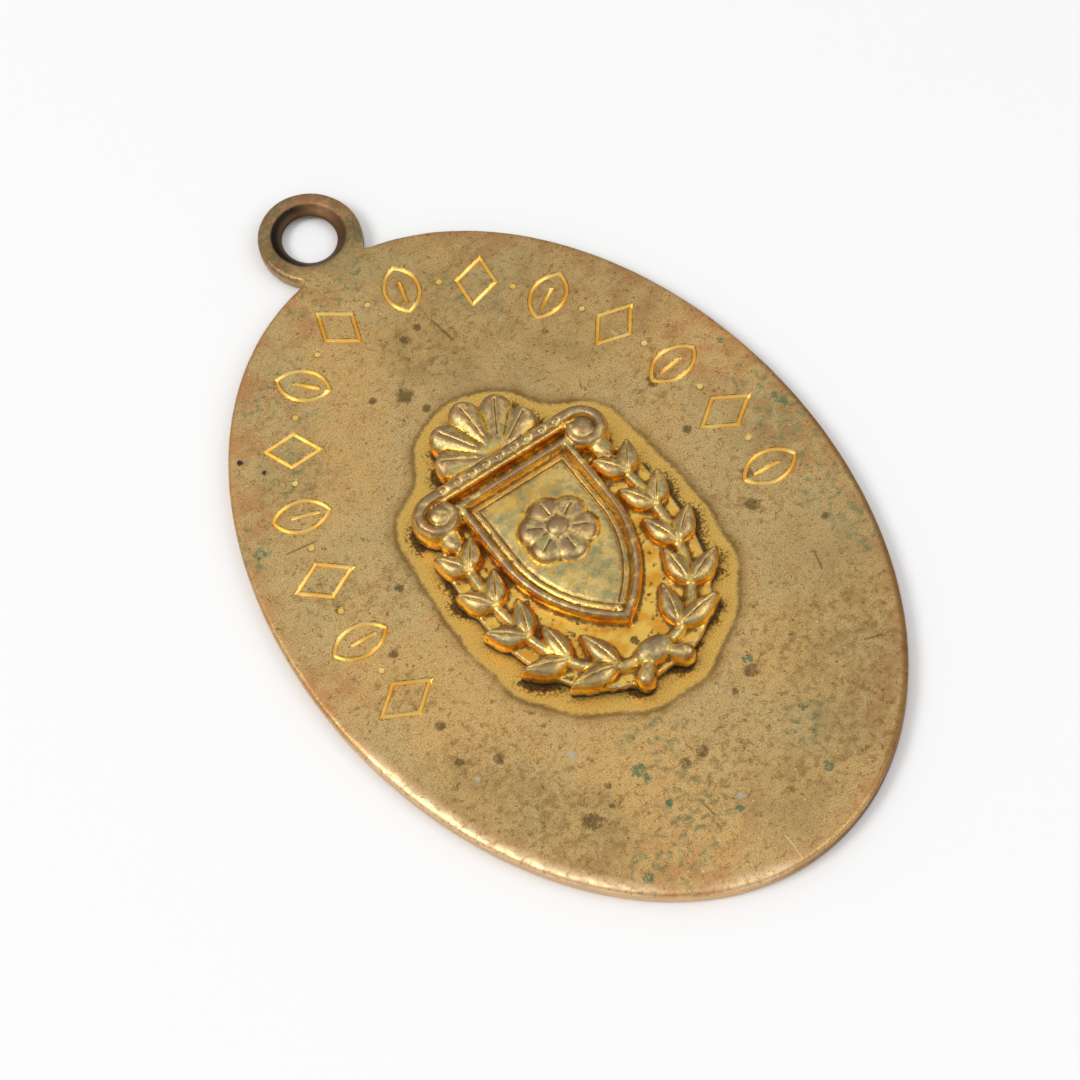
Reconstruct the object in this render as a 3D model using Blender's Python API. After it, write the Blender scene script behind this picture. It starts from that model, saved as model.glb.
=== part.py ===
"""Oval brass office badge: a stamped plate with its hanging eye, and a struck relief soldered on it.

Metres, +Z up. The badge lies on its back, as it is put down. The origin is the middle of the oval on
the flat back, +Y runs to the hanging eye, and +X is to the right as one looks at the front.
The plate, the eye and the relief are soldered metal, so they are fused into one solid.
"""

import math

import bmesh
import bpy
from mathutils import Matrix, Vector

MM = 0.001

# Plate
PLATE_LENGTH = 68.0 * MM
PLATE_WIDTH = 46.4 * MM
PLATE_THICKNESS = 1.5 * MM
RIM_ROUNDING = 0.4 * MM
OVAL_SEGMENTS = 112
ROUNDING_STEPS = 3

# Hanging eye, a countersunk lug of the same sheet, a little longer than it is wide
EYE_WIDTH = 8.9 * MM
EYE_LENGTH = 10.0 * MM
EYE_BEYOND_RIM = 3.7 * MM
HOLE_BEYOND_RIM = 3.9 * MM
HOLE_MOUTH_WIDTH = 6.4 * MM
HOLE_MOUTH_LENGTH = 6.9 * MM
HOLE_THROAT_WIDTH = 4.7 * MM
HOLE_THROAT_LENGTH = 5.3 * MM
HOLE_THROAT_LAND = 0.3 * MM
NECK_WIDTH = 6.0 * MM
EYE_SEGMENTS = 40

# Engraved border: lozenges and leaves in turn, with a drilled point between two marks
MARK_COUNT = 14
MARK_HEIGHT = 4.7 * MM
LOZENGE_WIDTH = 3.3 * MM
LEAF_WIDTH = 2.9 * MM
LEAF_SIDE_STEPS = 5
VEIN_LENGTH = 3.1 * MM
BORDER_INSET = 3.2 * MM
BORDER_END_DROP = 5.0 * MM
GROOVE_WIDTH = 0.46 * MM
GROOVE_DEPTH = 0.26 * MM
POINT_DIAMETER = 0.7 * MM
POINT_SIDES = 10

# Relief: every height is above the plate's face
GROUND_HEIGHT = 0.9 * MM
GROUND_MARGIN = 1.6 * MM

SHIELD_WIDTH = 11.0 * MM
SHIELD_HEIGHT = 17.0 * MM
SHIELD_STRAIGHT = 6.8 * MM
SHIELD_TOP = 6.3 * MM
SHIELD_ARC_STEPS = 6
SHIELD_BORDER_WIDTH = 0.9 * MM
SHIELD_BORDER_HEIGHT = 2.1 * MM
SHIELD_EDGE_HEIGHT = 1.6 * MM
SHIELD_FIELD_EDGE_HEIGHT = 1.4 * MM
SHIELD_FIELD_HEIGHT = 2.0 * MM

ROSETTE_DROP = 7.0 * MM
ROSETTE_PETALS = 6
PETAL_LENGTH = 3.2 * MM
PETAL_WIDTH = 2.9 * MM
PETAL_HEIGHT = 2.6 * MM
BOSS_DIAMETER = 1.8 * MM
BOSS_HEIGHT = 2.9 * MM

SCROLL_WIDTH = 1.7 * MM
SCROLL_TIP_WIDTH = 0.9 * MM
SCROLL_WALL = 1.1 * MM
SCROLL_HEIGHT = 2.4 * MM
SCROLL_CLEARANCE = 0.6 * MM
VOLUTE_RADIUS = 1.8 * MM
VOLUTE_OVERHANG = 1.3 * MM
VOLUTE_TURN = math.radians(325)
VOLUTE_STEPS = 16
VOLUTE_BUTTON_DIAMETER = 1.9 * MM
VOLUTE_BUTTON_HEIGHT = 2.6 * MM

PALMETTE_LOBES = 5
PALMETTE_LENGTH = 6.7 * MM
PALMETTE_OUTER_LENGTH = 5.3 * MM
PALMETTE_LOBE_WIDTH = 2.8 * MM
PALMETTE_SPREAD = math.radians(58)
PALMETTE_WALL = 1.2 * MM
PALMETTE_HEIGHT = 2.2 * MM

STEM_GAP = 2.0 * MM
STEM_WIDTH = 1.0 * MM
STEM_WALL = 0.9 * MM
STEM_HEIGHT = 1.6 * MM
STEM_STEPS = 14
LEAF_PAIRS = 5
LAUREL_LENGTH = 4.3 * MM
LAUREL_TOP_LENGTH = 3.3 * MM
LAUREL_WIDTH = 1.9 * MM
LAUREL_WALL = 1.1 * MM
LAUREL_HEIGHT = 2.0 * MM
LAUREL_ANGLE = math.radians(33)
# Stem's bend: share of its reach from the middle line, share of its rise from the knot
STEM_BEND = ((0.08, 0.0), (0.86, 0.0), (1.13, 0.5), (0.98, 1.0))
# Where leaf pairs begin and end, as shares of the stem
LEAVES_FROM, LEAVES_TO = 0.14, 0.92

KNOT_DROP = 3.0 * MM
KNOT_WIDTH = 3.4 * MM
KNOT_LENGTH = 2.3 * MM
KNOT_WALL = 1.3 * MM
KNOT_HEIGHT = 2.3 * MM
RIBBON_LENGTH = 3.2 * MM
RIBBON_WIDTH = 1.6 * MM
RIBBON_ANGLE = math.radians(-40)

ROOT_DEPTH = 0.9 * MM
CUT_MARGIN = 0.5 * MM
SHARP_ANGLE = math.radians(38)
# A mound's crown closes at this angle of its rounding, so that it ends in a small flat
CROWN_ANGLE = math.radians(78)
BRASS_COLOUR = (0.38, 0.27, 0.11, 1.0)
BRASS_ROUGHNESS = 0.45


def clear_scene():
    for item in list(bpy.data.objects):
        bpy.data.objects.remove(item)


def brass_material():
    material = bpy.data.materials.new("tarnished_brass")
    material.use_nodes = True
    shader = material.node_tree.nodes["Principled BSDF"]
    shader.inputs["Base Color"].default_value = BRASS_COLOUR
    shader.inputs["Metallic"].default_value = 1.0
    shader.inputs["Roughness"].default_value = BRASS_ROUGHNESS
    return material


def helper_collection(name):
    collection = bpy.data.collections.new(name)
    bpy.context.scene.collection.children.link(collection)
    return collection


def object_from(name, bm, collection=None):
    """Makes the bmesh an object; one that goes into a collection is a Boolean's operand, and isn't shown."""
    bmesh.ops.recalc_face_normals(bm, faces=bm.faces)
    mesh = bpy.data.meshes.new(name)
    bm.to_mesh(mesh)
    bm.free()
    mesh.shade_smooth()
    mesh.set_sharp_from_angle(angle=SHARP_ANGLE)
    item = bpy.data.objects.new(name, mesh)
    (collection or bpy.context.scene.collection).objects.link(item)
    if collection:
        item.hide_render = True
        item.display_type = "WIRE"
    return item


def loft(rings, closed=False):
    """Joins rings of as many points each with quads, and caps both ends unless the loft closes on itself."""
    bm = bmesh.new()
    made = [[bm.verts.new(point) for point in ring] for ring in rings]
    count = len(rings[0])
    pairs = list(zip(made, made[1:] + made[:1])) if closed else list(zip(made, made[1:]))
    for low, high in pairs:
        for i in range(count):
            j = (i + 1) % count
            bm.faces.new((low[i], low[j], high[j], high[i]))
    if not closed:
        bm.faces.new(made[0])
        bm.faces.new(made[-1])
    return bm


def hull(points):
    bm = bmesh.new()
    for point in points:
        bm.verts.new(point)
    bmesh.ops.convex_hull(bm, input=bm.verts)
    return bm


def at_height(outline, z):
    return [Vector((p.x, p.y, z)) for p in outline]


def inset(outline, distance):
    """Moves a counter-clockwise outline inwards by a distance, mitred at its corners."""
    moved = []
    for i, p in enumerate(outline):
        before = (p - outline[i - 1]).normalized()
        after = (outline[(i + 1) % len(outline)] - p).normalized()
        bisector = Vector((-before.y - after.y, before.x + after.x)).normalized()
        moved.append(p + bisector * distance / bisector.dot(Vector((-before.y, before.x))))
    return moved


def placed(outline, origin, angle):
    """Turns an outline by an angle and moves its origin to a point."""
    turn = Matrix.Rotation(angle, 2)
    return [origin + turn @ p for p in outline]


def mirrored(outline, side):
    """The outline itself for side 1, and its mirror image in the badge's middle line for side -1."""
    return [Vector((side * p.x, p.y)) for p in outline]


def ellipse(width, length, segments, centre):
    turns = [2 * math.pi * i / segments for i in range(segments)]
    return [centre + Vector((width / 2 * math.cos(a), length / 2 * math.sin(a))) for a in turns]


def circle(diameter, segments, centre):
    return ellipse(diameter, diameter, segments, centre)


# Plate and eye

def oval_point(angle, shrink=0.0):
    half_width = PLATE_WIDTH / 2 - shrink
    half_length = PLATE_LENGTH / 2 - shrink
    return Vector((half_width * math.cos(angle), half_length * math.sin(angle)))


def beyond_rim(distance):
    """A place on the badge's middle line, above the top of the oval."""
    return Vector((0.0, PLATE_LENGTH / 2 + distance))


def plate_outline():
    """The oval, then the eye, which stands on the neck's two short upright sides."""
    notch_angle = math.acos(NECK_WIDTH / PLATE_WIDTH)
    sweep = math.pi + 2 * notch_angle
    turns = [math.pi - notch_angle + sweep * i / OVAL_SEGMENTS for i in range(OVAL_SEGMENTS + 1)]
    outline = [oval_point(a) for a in turns]
    neck_angle = -math.acos(NECK_WIDTH / EYE_WIDTH)
    sweep = math.pi - 2 * neck_angle
    for i in range(EYE_SEGMENTS + 1):
        angle = neck_angle + sweep * i / EYE_SEGMENTS
        rim = Vector((EYE_WIDTH / 2 * math.cos(angle), EYE_LENGTH / 2 * math.sin(angle)))
        outline.append(beyond_rim(EYE_BEYOND_RIM) + rim)
    return outline


def plate_blank():
    """The sheet, with both rims rounded."""
    outline = plate_outline()
    lower = []
    for i in range(ROUNDING_STEPS + 1):
        angle = math.pi / 2 * i / ROUNDING_STEPS
        shrunk = inset(outline, RIM_ROUNDING * (1 - math.sin(angle)))
        lower.append(at_height(shrunk, RIM_ROUNDING * (1 - math.cos(angle))))
    upper = [at_height(ring, PLATE_THICKNESS - ring[0].z) for ring in reversed(lower)]
    return object_from("badge", loft(lower + upper))


def eye_hole(collection):
    """A throat with a short straight land at mid-thickness, countersunk from both faces."""
    cone_depth = (PLATE_THICKNESS - HOLE_THROAT_LAND) / 2
    past_mouth = 1 + CUT_MARGIN / cone_depth
    # Height, and how far the section has opened from the throat (0) to the mouth (1) and past it
    sections = (
        (-CUT_MARGIN, past_mouth),
        (cone_depth, 0.0),
        (PLATE_THICKNESS - cone_depth, 0.0),
        (PLATE_THICKNESS + CUT_MARGIN, past_mouth),
    )
    rings = []
    for z, opened in sections:
        width = HOLE_THROAT_WIDTH + (HOLE_MOUTH_WIDTH - HOLE_THROAT_WIDTH) * opened
        length = HOLE_THROAT_LENGTH + (HOLE_MOUTH_LENGTH - HOLE_THROAT_LENGTH) * opened
        rings.append(at_height(ellipse(width, length, EYE_SEGMENTS, beyond_rim(HOLE_BEYOND_RIM)), z))
    object_from("eye_hole", loft(rings), collection)


# Engraved border

def border_stations(count):
    """Evenly spaced places on the middle line of the border, from the left end over the top to the right end.

    Each is a point and the direction from it to the rim.
    """
    shrink = BORDER_INSET + MARK_HEIGHT / 2
    below = math.asin(BORDER_END_DROP / (PLATE_LENGTH / 2 - shrink))
    samples = 400
    sweep = math.pi + 2 * below
    line = [oval_point(math.pi + below - sweep * i / samples, shrink) for i in range(samples + 1)]
    run = [0.0]
    for p, q in zip(line, line[1:]):
        run.append(run[-1] + (q - p).length)
    stations = []
    for k in range(count):
        wanted = run[-1] * k / (count - 1)
        i = min(range(1, samples), key=lambda n: abs(run[n] - wanted))
        along = (line[i + 1] - line[i - 1]).normalized()
        stations.append((line[i], Vector((-along.y, along.x))))
    return stations


def groove_half_width():
    """Half the width of a cutter for a groove, where it stands above the face."""
    return GROOVE_WIDTH / 2 * (1 + CUT_MARGIN / GROOVE_DEPTH)


def groove_section(point, outwards):
    """The V of a groove at a point of its path, carried up past the face."""
    outer = point + outwards * groove_half_width()
    inner = point - outwards * groove_half_width()
    return [
        (*outer, PLATE_THICKNESS + CUT_MARGIN),
        (*inner, PLATE_THICKNESS + CUT_MARGIN),
        (*point, PLATE_THICKNESS - GROOVE_DEPTH),
    ]


def closed_groove(path):
    """A groove that follows a closed outline, mitred at its corners."""
    outwards = [(p - q) / MM for p, q in zip(path, inset(path, MM))]
    return loft([groove_section(p, n) for p, n in zip(path, outwards)], closed=True)


def straight_groove(start, end):
    """A groove with pointed ends, as a V-shaped graver leaves."""
    along = (end - start).normalized()
    across = Vector((-along.y, along.x))
    points = []
    for tip, outward in ((start, -along), (end, along)):
        points.append((*tip, PLATE_THICKNESS - GROOVE_DEPTH))
        for direction in (across, outward, -across):
            points.append((*(tip + direction * groove_half_width()), PLATE_THICKNESS + CUT_MARGIN))
    return hull(points)


def drilled_point(centre):
    """A cone left by the tip of a drill."""
    diameter = POINT_DIAMETER * (1 + CUT_MARGIN / GROOVE_DEPTH)
    rim = at_height(circle(diameter, POINT_SIDES, centre), PLATE_THICKNESS + CUT_MARGIN)
    return hull([(*centre, PLATE_THICKNESS - GROOVE_DEPTH)] + rim)


def lozenge_outline():
    half_height = MARK_HEIGHT / 2
    half_width = LOZENGE_WIDTH / 2
    corners = ((half_width, 0.0), (0.0, half_height), (-half_width, 0.0), (0.0, -half_height))
    return [Vector(corner) for corner in corners]


def leaf_outline():
    """Two arcs that meet in points at the top and at the bottom."""
    half_height = MARK_HEIGHT / 2
    half_width = LEAF_WIDTH / 2
    radius = (half_height**2 + half_width**2) / (2 * half_width)
    half_arc = math.asin(half_height / radius)
    side = []
    for i in range(LEAF_SIDE_STEPS):
        angle = -half_arc + 2 * half_arc * i / LEAF_SIDE_STEPS
        side.append(Vector((half_width - radius + radius * math.cos(angle), radius * math.sin(angle))))
    return side + [-p for p in side]


def engraved_border(collection):
    """Two marks take two places each along the border: a lozenge, a point, a leaf and a point."""
    for k, (point, outward) in enumerate(border_stations(2 * MARK_COUNT - 1)):
        angle = math.atan2(outward.y, outward.x) - math.pi / 2
        if k % 2:
            object_from(f"point_{k}", drilled_point(point), collection)
        elif k % 4:
            outline = placed(leaf_outline(), point, angle)
            object_from(f"leaf_{k}", closed_groove(outline), collection)
            foot = point - outward * MARK_HEIGHT / 2
            object_from(f"vein_{k}", straight_groove(foot, foot + outward * VEIN_LENGTH), collection)
        else:
            outline = placed(lozenge_outline(), point, angle)
            object_from(f"lozenge_{k}", closed_groove(outline), collection)


# Relief

def face(height):
    """A height above the plate's face, as a Z value."""
    return PLATE_THICKNESS + height


def mound(name, outline, shoulder, crown, collection, steps=3, ridge=0.0):
    """A solid with upright walls and a rounded top.

    The top draws in to the outline's middle. With a ridge, it keeps that share of its length.
    """
    middle = sum(outline, Vector((0.0, 0.0))) / len(outline)
    long_axis = (outline[0] - middle).normalized()
    rings = [at_height(outline, face(-ROOT_DEPTH))]
    for k in range(steps + 1):
        angle = CROWN_ANGLE * k / steps
        narrow = math.cos(angle)
        keep = ridge + (1 - ridge) * narrow
        rise = (crown - shoulder) * math.sin(angle) / math.sin(CROWN_ANGLE)
        ring = []
        for p in outline:
            along = long_axis * (p - middle).dot(long_axis)
            across = p - middle - along
            ring.append(middle + along * keep + across * narrow)
        rings.append(at_height(ring, face(shoulder + rise)))
    return object_from(name, loft(rings), collection)


def pointed_leaf(length, width, steps=6):
    """A leaf along +X, from its stalk at the origin to its tip."""
    side = []
    for i in range(1, steps + 1):
        share = 1 - i / steps
        half = width * (0.05 + 0.45 * math.sin(math.pi * share**0.8))
        side.append(Vector((length * share, half)))
    return [Vector((length, 0.0))] + side + [Vector((p.x, -p.y)) for p in reversed(side)]


def teardrop(length, width, steps=8):
    """A lobe along +X with a round end and a narrow root at the origin."""
    radius = width / 2
    root = width / 6
    centre = Vector((length - radius, 0.0))
    half_arc = math.pi / 2 + math.asin((radius - root) / (length - radius))
    turns = [-half_arc + 2 * half_arc * i / steps for i in range(steps + 1)]
    round_end = [centre + radius * Vector((math.cos(a), math.sin(a))) for a in turns]
    outline = round_end + [Vector((0.0, root)), Vector((0.0, -root))]
    tip = steps // 2
    return outline[tip:] + outline[:tip]


def half_round_band(path, half_widths, wall, height):
    """A half-round band along a path, with upright sides down into the plate."""
    rings = []
    last = len(path) - 1
    for i, (p, half) in enumerate(zip(path, half_widths)):
        along = (path[min(i + 1, last)] - path[max(i - 1, 0)]).normalized()
        across = Vector((-along.y, along.x))
        section = [(-half, -ROOT_DEPTH)]
        for k in range(7):
            angle = math.pi * k / 6
            section.append((-half * math.cos(angle), wall + (height - wall) * math.sin(angle)))
        section.append((half, -ROOT_DEPTH))
        rings.append([Vector((*(p + across * offset), face(z))) for offset, z in section])
    return loft(rings)


def slab(outline, height):
    return loft([at_height(outline, face(-ROOT_DEPTH)), at_height(outline, face(height))])


def shield_outline():
    """A straight top, upright sides and two arcs that meet at the tip."""
    half = SHIELD_WIDTH / 2
    drop = SHIELD_HEIGHT - SHIELD_STRAIGHT
    radius = (half**2 + drop**2) / (2 * half)
    half_arc = math.asin(drop / radius)
    spring = SHIELD_TOP - SHIELD_STRAIGHT
    right = []
    for i in range(SHIELD_ARC_STEPS + 1):
        angle = -half_arc * (1 - i / SHIELD_ARC_STEPS)
        right.append(Vector((half - radius + radius * math.cos(angle), spring + radius * math.sin(angle))))
    right.append(Vector((half, SHIELD_TOP)))
    return right + mirrored(reversed(right[1:]), -1)


def shield(collection):
    """A raised border round a lower field that swells towards its middle."""
    outline = shield_outline()
    border = (
        (0.0, -ROOT_DEPTH),
        (0.0, SHIELD_EDGE_HEIGHT),
        (SHIELD_BORDER_WIDTH * 0.3, SHIELD_BORDER_HEIGHT),
        (SHIELD_BORDER_WIDTH * 0.7, SHIELD_BORDER_HEIGHT),
        (SHIELD_BORDER_WIDTH, SHIELD_FIELD_EDGE_HEIGHT),
    )
    rings = [at_height(inset(outline, distance), face(height)) for distance, height in border]
    field = inset(outline, SHIELD_BORDER_WIDTH)
    middle = sum(field, Vector((0.0, 0.0))) / len(field)
    swell = SHIELD_FIELD_HEIGHT - SHIELD_FIELD_EDGE_HEIGHT
    for share in (0.72, 0.42, 0.15):
        ring = [middle + (p - middle) * share for p in field]
        rings.append(at_height(ring, face(SHIELD_FIELD_EDGE_HEIGHT + swell * math.sqrt(1 - share**2))))
    object_from("shield", loft(rings), collection)


def rosette(collection):
    centre = Vector((0.0, SHIELD_TOP - ROSETTE_DROP))
    for k in range(ROSETTE_PETALS):
        angle = math.pi / 2 + 2 * math.pi * k / ROSETTE_PETALS
        outline = placed(teardrop(PETAL_LENGTH, PETAL_WIDTH), centre, angle)
        mound(f"petal_{k}", outline, SHIELD_FIELD_HEIGHT, PETAL_HEIGHT, collection, steps=2)
    mound("boss", circle(BOSS_DIAMETER, 12, centre), PETAL_HEIGHT, BOSS_HEIGHT, collection)


def scroll_line():
    """How far up the badge the middle of the scroll's straight bar lies."""
    return SHIELD_TOP + SCROLL_CLEARANCE + SCROLL_WIDTH / 2


def volute_centre():
    return Vector((SHIELD_WIDTH / 2 + VOLUTE_OVERHANG, scroll_line() - VOLUTE_RADIUS))


def scroll(collection):
    """A bar over the shield whose two ends curl down and inwards, each round a button."""
    centre = volute_centre()
    end_radius = VOLUTE_BUTTON_DIAMETER / 2
    curl = []
    curl_halves = []
    for i in range(VOLUTE_STEPS + 1):
        share = i / VOLUTE_STEPS
        angle = math.pi / 2 - VOLUTE_TURN * share
        radius = VOLUTE_RADIUS + (end_radius - VOLUTE_RADIUS) * share
        curl.append(centre + radius * Vector((math.cos(angle), math.sin(angle))))
        curl_halves.append((SCROLL_WIDTH + (SCROLL_TIP_WIDTH - SCROLL_WIDTH) * share) / 2)
    bar = [Vector((centre.x * share, scroll_line())) for share in (-0.5, 0.0, 0.5)]
    path = mirrored(reversed(curl), -1) + bar + curl
    halves = curl_halves[::-1] + [SCROLL_WIDTH / 2] * len(bar) + curl_halves
    object_from("scroll", half_round_band(path, halves, SCROLL_WALL, SCROLL_HEIGHT), collection)
    for side, word in ((-1, "left"), (1, "right")):
        middle = Vector((side * centre.x, centre.y))
        button = circle(VOLUTE_BUTTON_DIAMETER, 12, middle)
        mound(f"volute_button_{word}", button, SCROLL_HEIGHT, VOLUTE_BUTTON_HEIGHT, collection)
        disc = circle(2 * VOLUTE_RADIUS, 14, middle)
        object_from(f"volute_ground_{word}", slab(disc, GROUND_HEIGHT), collection)


def palmette(collection):
    """A fan of lobes that rises from the middle of the scroll; the outer lobes are shorter."""
    root = Vector((0.0, scroll_line()))
    for k in range(PALMETTE_LOBES):
        share = 2 * k / (PALMETTE_LOBES - 1) - 1
        length = PALMETTE_LENGTH + (PALMETTE_OUTER_LENGTH - PALMETTE_LENGTH) * share**2
        angle = math.pi / 2 - share * PALMETTE_SPREAD
        outline = placed(teardrop(length, PALMETTE_LOBE_WIDTH), root, angle)
        mound(f"palmette_lobe_{k}", outline, PALMETTE_WALL, PALMETTE_HEIGHT, collection, ridge=0.35)


def knot_centre():
    return Vector((0.0, SHIELD_TOP - SHIELD_HEIGHT - KNOT_DROP))


def stem_point(share):
    """A place on the right-hand stem, from the knot, under the shield's tip, to below the volute."""
    foot = knot_centre().y
    rise = volute_centre().y - VOLUTE_RADIUS - LAUREL_TOP_LENGTH / 2 - foot
    reach = SHIELD_WIDTH / 2 + STEM_GAP
    rest = 1 - share
    weights = (rest**3, 3 * rest**2 * share, 3 * rest * share**2, share**3)
    point = Vector((0.0, foot))
    for weight, (across, along) in zip(weights, STEM_BEND):
        point += weight * Vector((reach * across, rise * along))
    return point


def stem_heading(share):
    ahead = stem_point(share + 0.01) - stem_point(share - 0.01)
    return math.atan2(ahead.y, ahead.x)


def relief_ground(collection):
    """The struck sheet that carries the ornament, cut to follow the stems outside."""
    right = []
    for i in range(STEM_STEPS + 1):
        heading = stem_heading(i / STEM_STEPS)
        right.append(stem_point(i / STEM_STEPS) + GROUND_MARGIN * Vector((math.sin(heading), -math.cos(heading))))
    right.append(volute_centre())
    right.append(Vector((volute_centre().x, scroll_line())))
    outline = right + mirrored(reversed(right), -1)
    object_from("relief_ground", slab(outline, GROUND_HEIGHT), collection)


def laurel_sprig(side, word, collection):
    """A stem with leaves in pairs, and one more leaf at its end."""
    stem = [stem_point(i / STEM_STEPS) for i in range(STEM_STEPS + 1)]
    halves = [STEM_WIDTH / 2] * len(stem)
    band = half_round_band(mirrored(stem, side), halves, STEM_WALL, STEM_HEIGHT)
    object_from(f"stem_{word}", band, collection)
    leaves = [(1.0, 0.0)]
    for k in range(LEAF_PAIRS):
        share = LEAVES_FROM + (LEAVES_TO - LEAVES_FROM) * k / (LEAF_PAIRS - 1)
        leaves += [(share, -LAUREL_ANGLE), (share, LAUREL_ANGLE)]
    for n, (share, lean) in enumerate(leaves):
        length = LAUREL_LENGTH + (LAUREL_TOP_LENGTH - LAUREL_LENGTH) * share
        leaf = pointed_leaf(length, LAUREL_WIDTH)
        outline = mirrored(placed(leaf, stem_point(share), stem_heading(share) + lean), side)
        name = f"laurel_leaf_{word}_{n}"
        mound(name, outline, LAUREL_WALL, LAUREL_HEIGHT, collection, steps=2, ridge=0.5)


def knot(collection):
    """The oval knot that ties the two sprigs, with two short ribbon ends."""
    centre = knot_centre()
    mound("knot", ellipse(KNOT_WIDTH, KNOT_LENGTH, 14, centre), KNOT_WALL, KNOT_HEIGHT, collection)
    for side, word in ((-1, "left"), (1, "right")):
        outline = placed(teardrop(RIBBON_LENGTH, RIBBON_WIDTH), centre, RIBBON_ANGLE)
        mound(f"ribbon_{word}", mirrored(outline, side), LAUREL_WALL, LAUREL_HEIGHT, collection, steps=2)


def boolean(item, operation, collection):
    modifier = item.modifiers.new(operation.lower(), "BOOLEAN")
    modifier.operation = operation
    modifier.operand_type = "COLLECTION"
    modifier.collection = collection
    modifier.solver = "EXACT"


def build():
    clear_scene()
    relief = helper_collection("relief_parts")
    cuts = helper_collection("cuts")
    badge = plate_blank()
    badge.data.materials.append(brass_material())
    relief_ground(relief)
    shield(relief)
    rosette(relief)
    scroll(relief)
    palmette(relief)
    laurel_sprig(-1, "left", relief)
    laurel_sprig(1, "right", relief)
    knot(relief)
    eye_hole(cuts)
    engraved_border(cuts)
    boolean(badge, "UNION", relief)
    boolean(badge, "DIFFERENCE", cuts)


build()
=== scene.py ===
# %% [markdown]
# An old oval brass badge of office
#
# The real thing is a flat oval of rolled brass with a hanging eye of the same sheet. Marks are engraved
# along its edge, and a small struck and gilt ornament is soldered to its middle. It has been worn for
# years, so it has gone olive brown, with a brighter ring where the soldering flux once cleaned it.
#
# The solid model, called the frame here, gives the true sizes. This script keeps its place and its box,
# and makes the surface that the eye meets: soft struck forms, cut grooves, tarnish, gilding and dirt.

# %% Load the frame
import math

import bmesh
import bpy
import numpy as np
from mathutils import Matrix, Vector, geometry, kdtree


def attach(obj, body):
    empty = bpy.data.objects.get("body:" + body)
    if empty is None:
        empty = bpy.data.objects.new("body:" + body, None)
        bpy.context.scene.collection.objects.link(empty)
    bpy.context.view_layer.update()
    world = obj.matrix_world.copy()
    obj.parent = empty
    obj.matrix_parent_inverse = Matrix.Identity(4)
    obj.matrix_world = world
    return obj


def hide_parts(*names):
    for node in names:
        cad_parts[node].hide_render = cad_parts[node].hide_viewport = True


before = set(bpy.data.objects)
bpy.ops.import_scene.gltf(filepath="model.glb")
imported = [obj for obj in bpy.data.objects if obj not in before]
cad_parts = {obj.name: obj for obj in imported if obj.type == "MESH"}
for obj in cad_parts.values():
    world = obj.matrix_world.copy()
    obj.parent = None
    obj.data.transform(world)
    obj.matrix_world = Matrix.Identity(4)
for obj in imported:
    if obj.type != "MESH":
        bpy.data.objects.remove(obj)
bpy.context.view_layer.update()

print("frame nodes:", list(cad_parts))

# %% [markdown]
# Camera
#
# The photo was taken with a longish lens, from above and a little to the left, with the camera turned.
# A camera is three things: where it stands, where it looks, and how much it takes in. The angles here
# were found by laying the known oval over the photo. The lens length follows from the photo's focal
# length in pixels, because a lens in millimetres is just that number times sensor width over image width.

# %% Place the camera
MM = 0.001
IMAGE_SIZE = 1080
FOCAL_PIXELS = 2617.8
SENSOR_WIDTH = 36.0
CAMERA_AZIMUTH = math.radians(-24.814)
CAMERA_ELEVATION = math.radians(59.155)
CAMERA_ROLL = math.radians(-10.623)
CAMERA_DISTANCE = 209.62 * MM
CAMERA_TARGET = Vector((-0.817, 1.263, 0.0)) * MM


def placed(name, data):
    """A new object with this data, in the scene."""
    item = bpy.data.objects.new(name, data)
    bpy.context.scene.collection.objects.link(item)
    return item


def camera_matrix():
    """The camera's place and its right, up and backward directions, as one matrix."""
    level = math.cos(CAMERA_ELEVATION)
    back = Vector((
        math.sin(CAMERA_AZIMUTH) * level,
        -math.cos(CAMERA_AZIMUTH) * level,
        math.sin(CAMERA_ELEVATION),
    ))
    right = (-back).cross(Vector((0, 0, 1))).normalized()
    turn = Matrix.Rotation(CAMERA_ROLL, 3, back)
    right = turn @ right
    up = back.cross(right)
    matrix = Matrix((right, up, back)).transposed().to_4x4()
    matrix.translation = CAMERA_TARGET + back * CAMERA_DISTANCE
    return matrix


camera = placed("camera", bpy.data.cameras.new("camera"))
camera.data.sensor_width = SENSOR_WIDTH
camera.data.lens = FOCAL_PIXELS * SENSOR_WIDTH / IMAGE_SIZE
camera.data.clip_start = 0.01
camera.matrix_world = camera_matrix()
bpy.context.scene.camera = camera
print("lens in mm:", round(camera.data.lens, 2))


def on_plate(pixel_x, pixel_y, height):
    """Where a pixel of the photo lies on the level plane at a height, in mm."""
    centre = IMAGE_SIZE / 2
    ray = Vector(((pixel_x - centre) / FOCAL_PIXELS, (centre - pixel_y) / FOCAL_PIXELS, -1.0))
    ray = camera.matrix_world.to_3x3() @ ray
    start = camera.matrix_world.translation
    place = start + ray * ((height * MM - start.z) / ray.z)
    return place.x / MM, place.y / MM


# %% [markdown]
# Helpers for colours, nodes and meshes
#
# Colours are easiest to pick as hex values, the way a screen shows them, but shaders work in linear
# light. One function turns the first into the second. Another adds a node to a tree and links it, so
# that a material or a node group can be read from top to bottom. The rest make a mesh object, make a
# plain mesh of what its modifiers show, and move numbers between a mesh and an array.

# %% Helpers for colours and nodes
def linear(hex_colour):
    """An sRGB hex colour as linear RGBA."""
    channels = [int(hex_colour[i:i + 2], 16) / 255 for i in (1, 3, 5)]
    lit = [c / 12.92 if c <= 0.04045 else ((c + 0.055) / 1.055) ** 2.4 for c in channels]
    return (*lit, 1.0)


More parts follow.
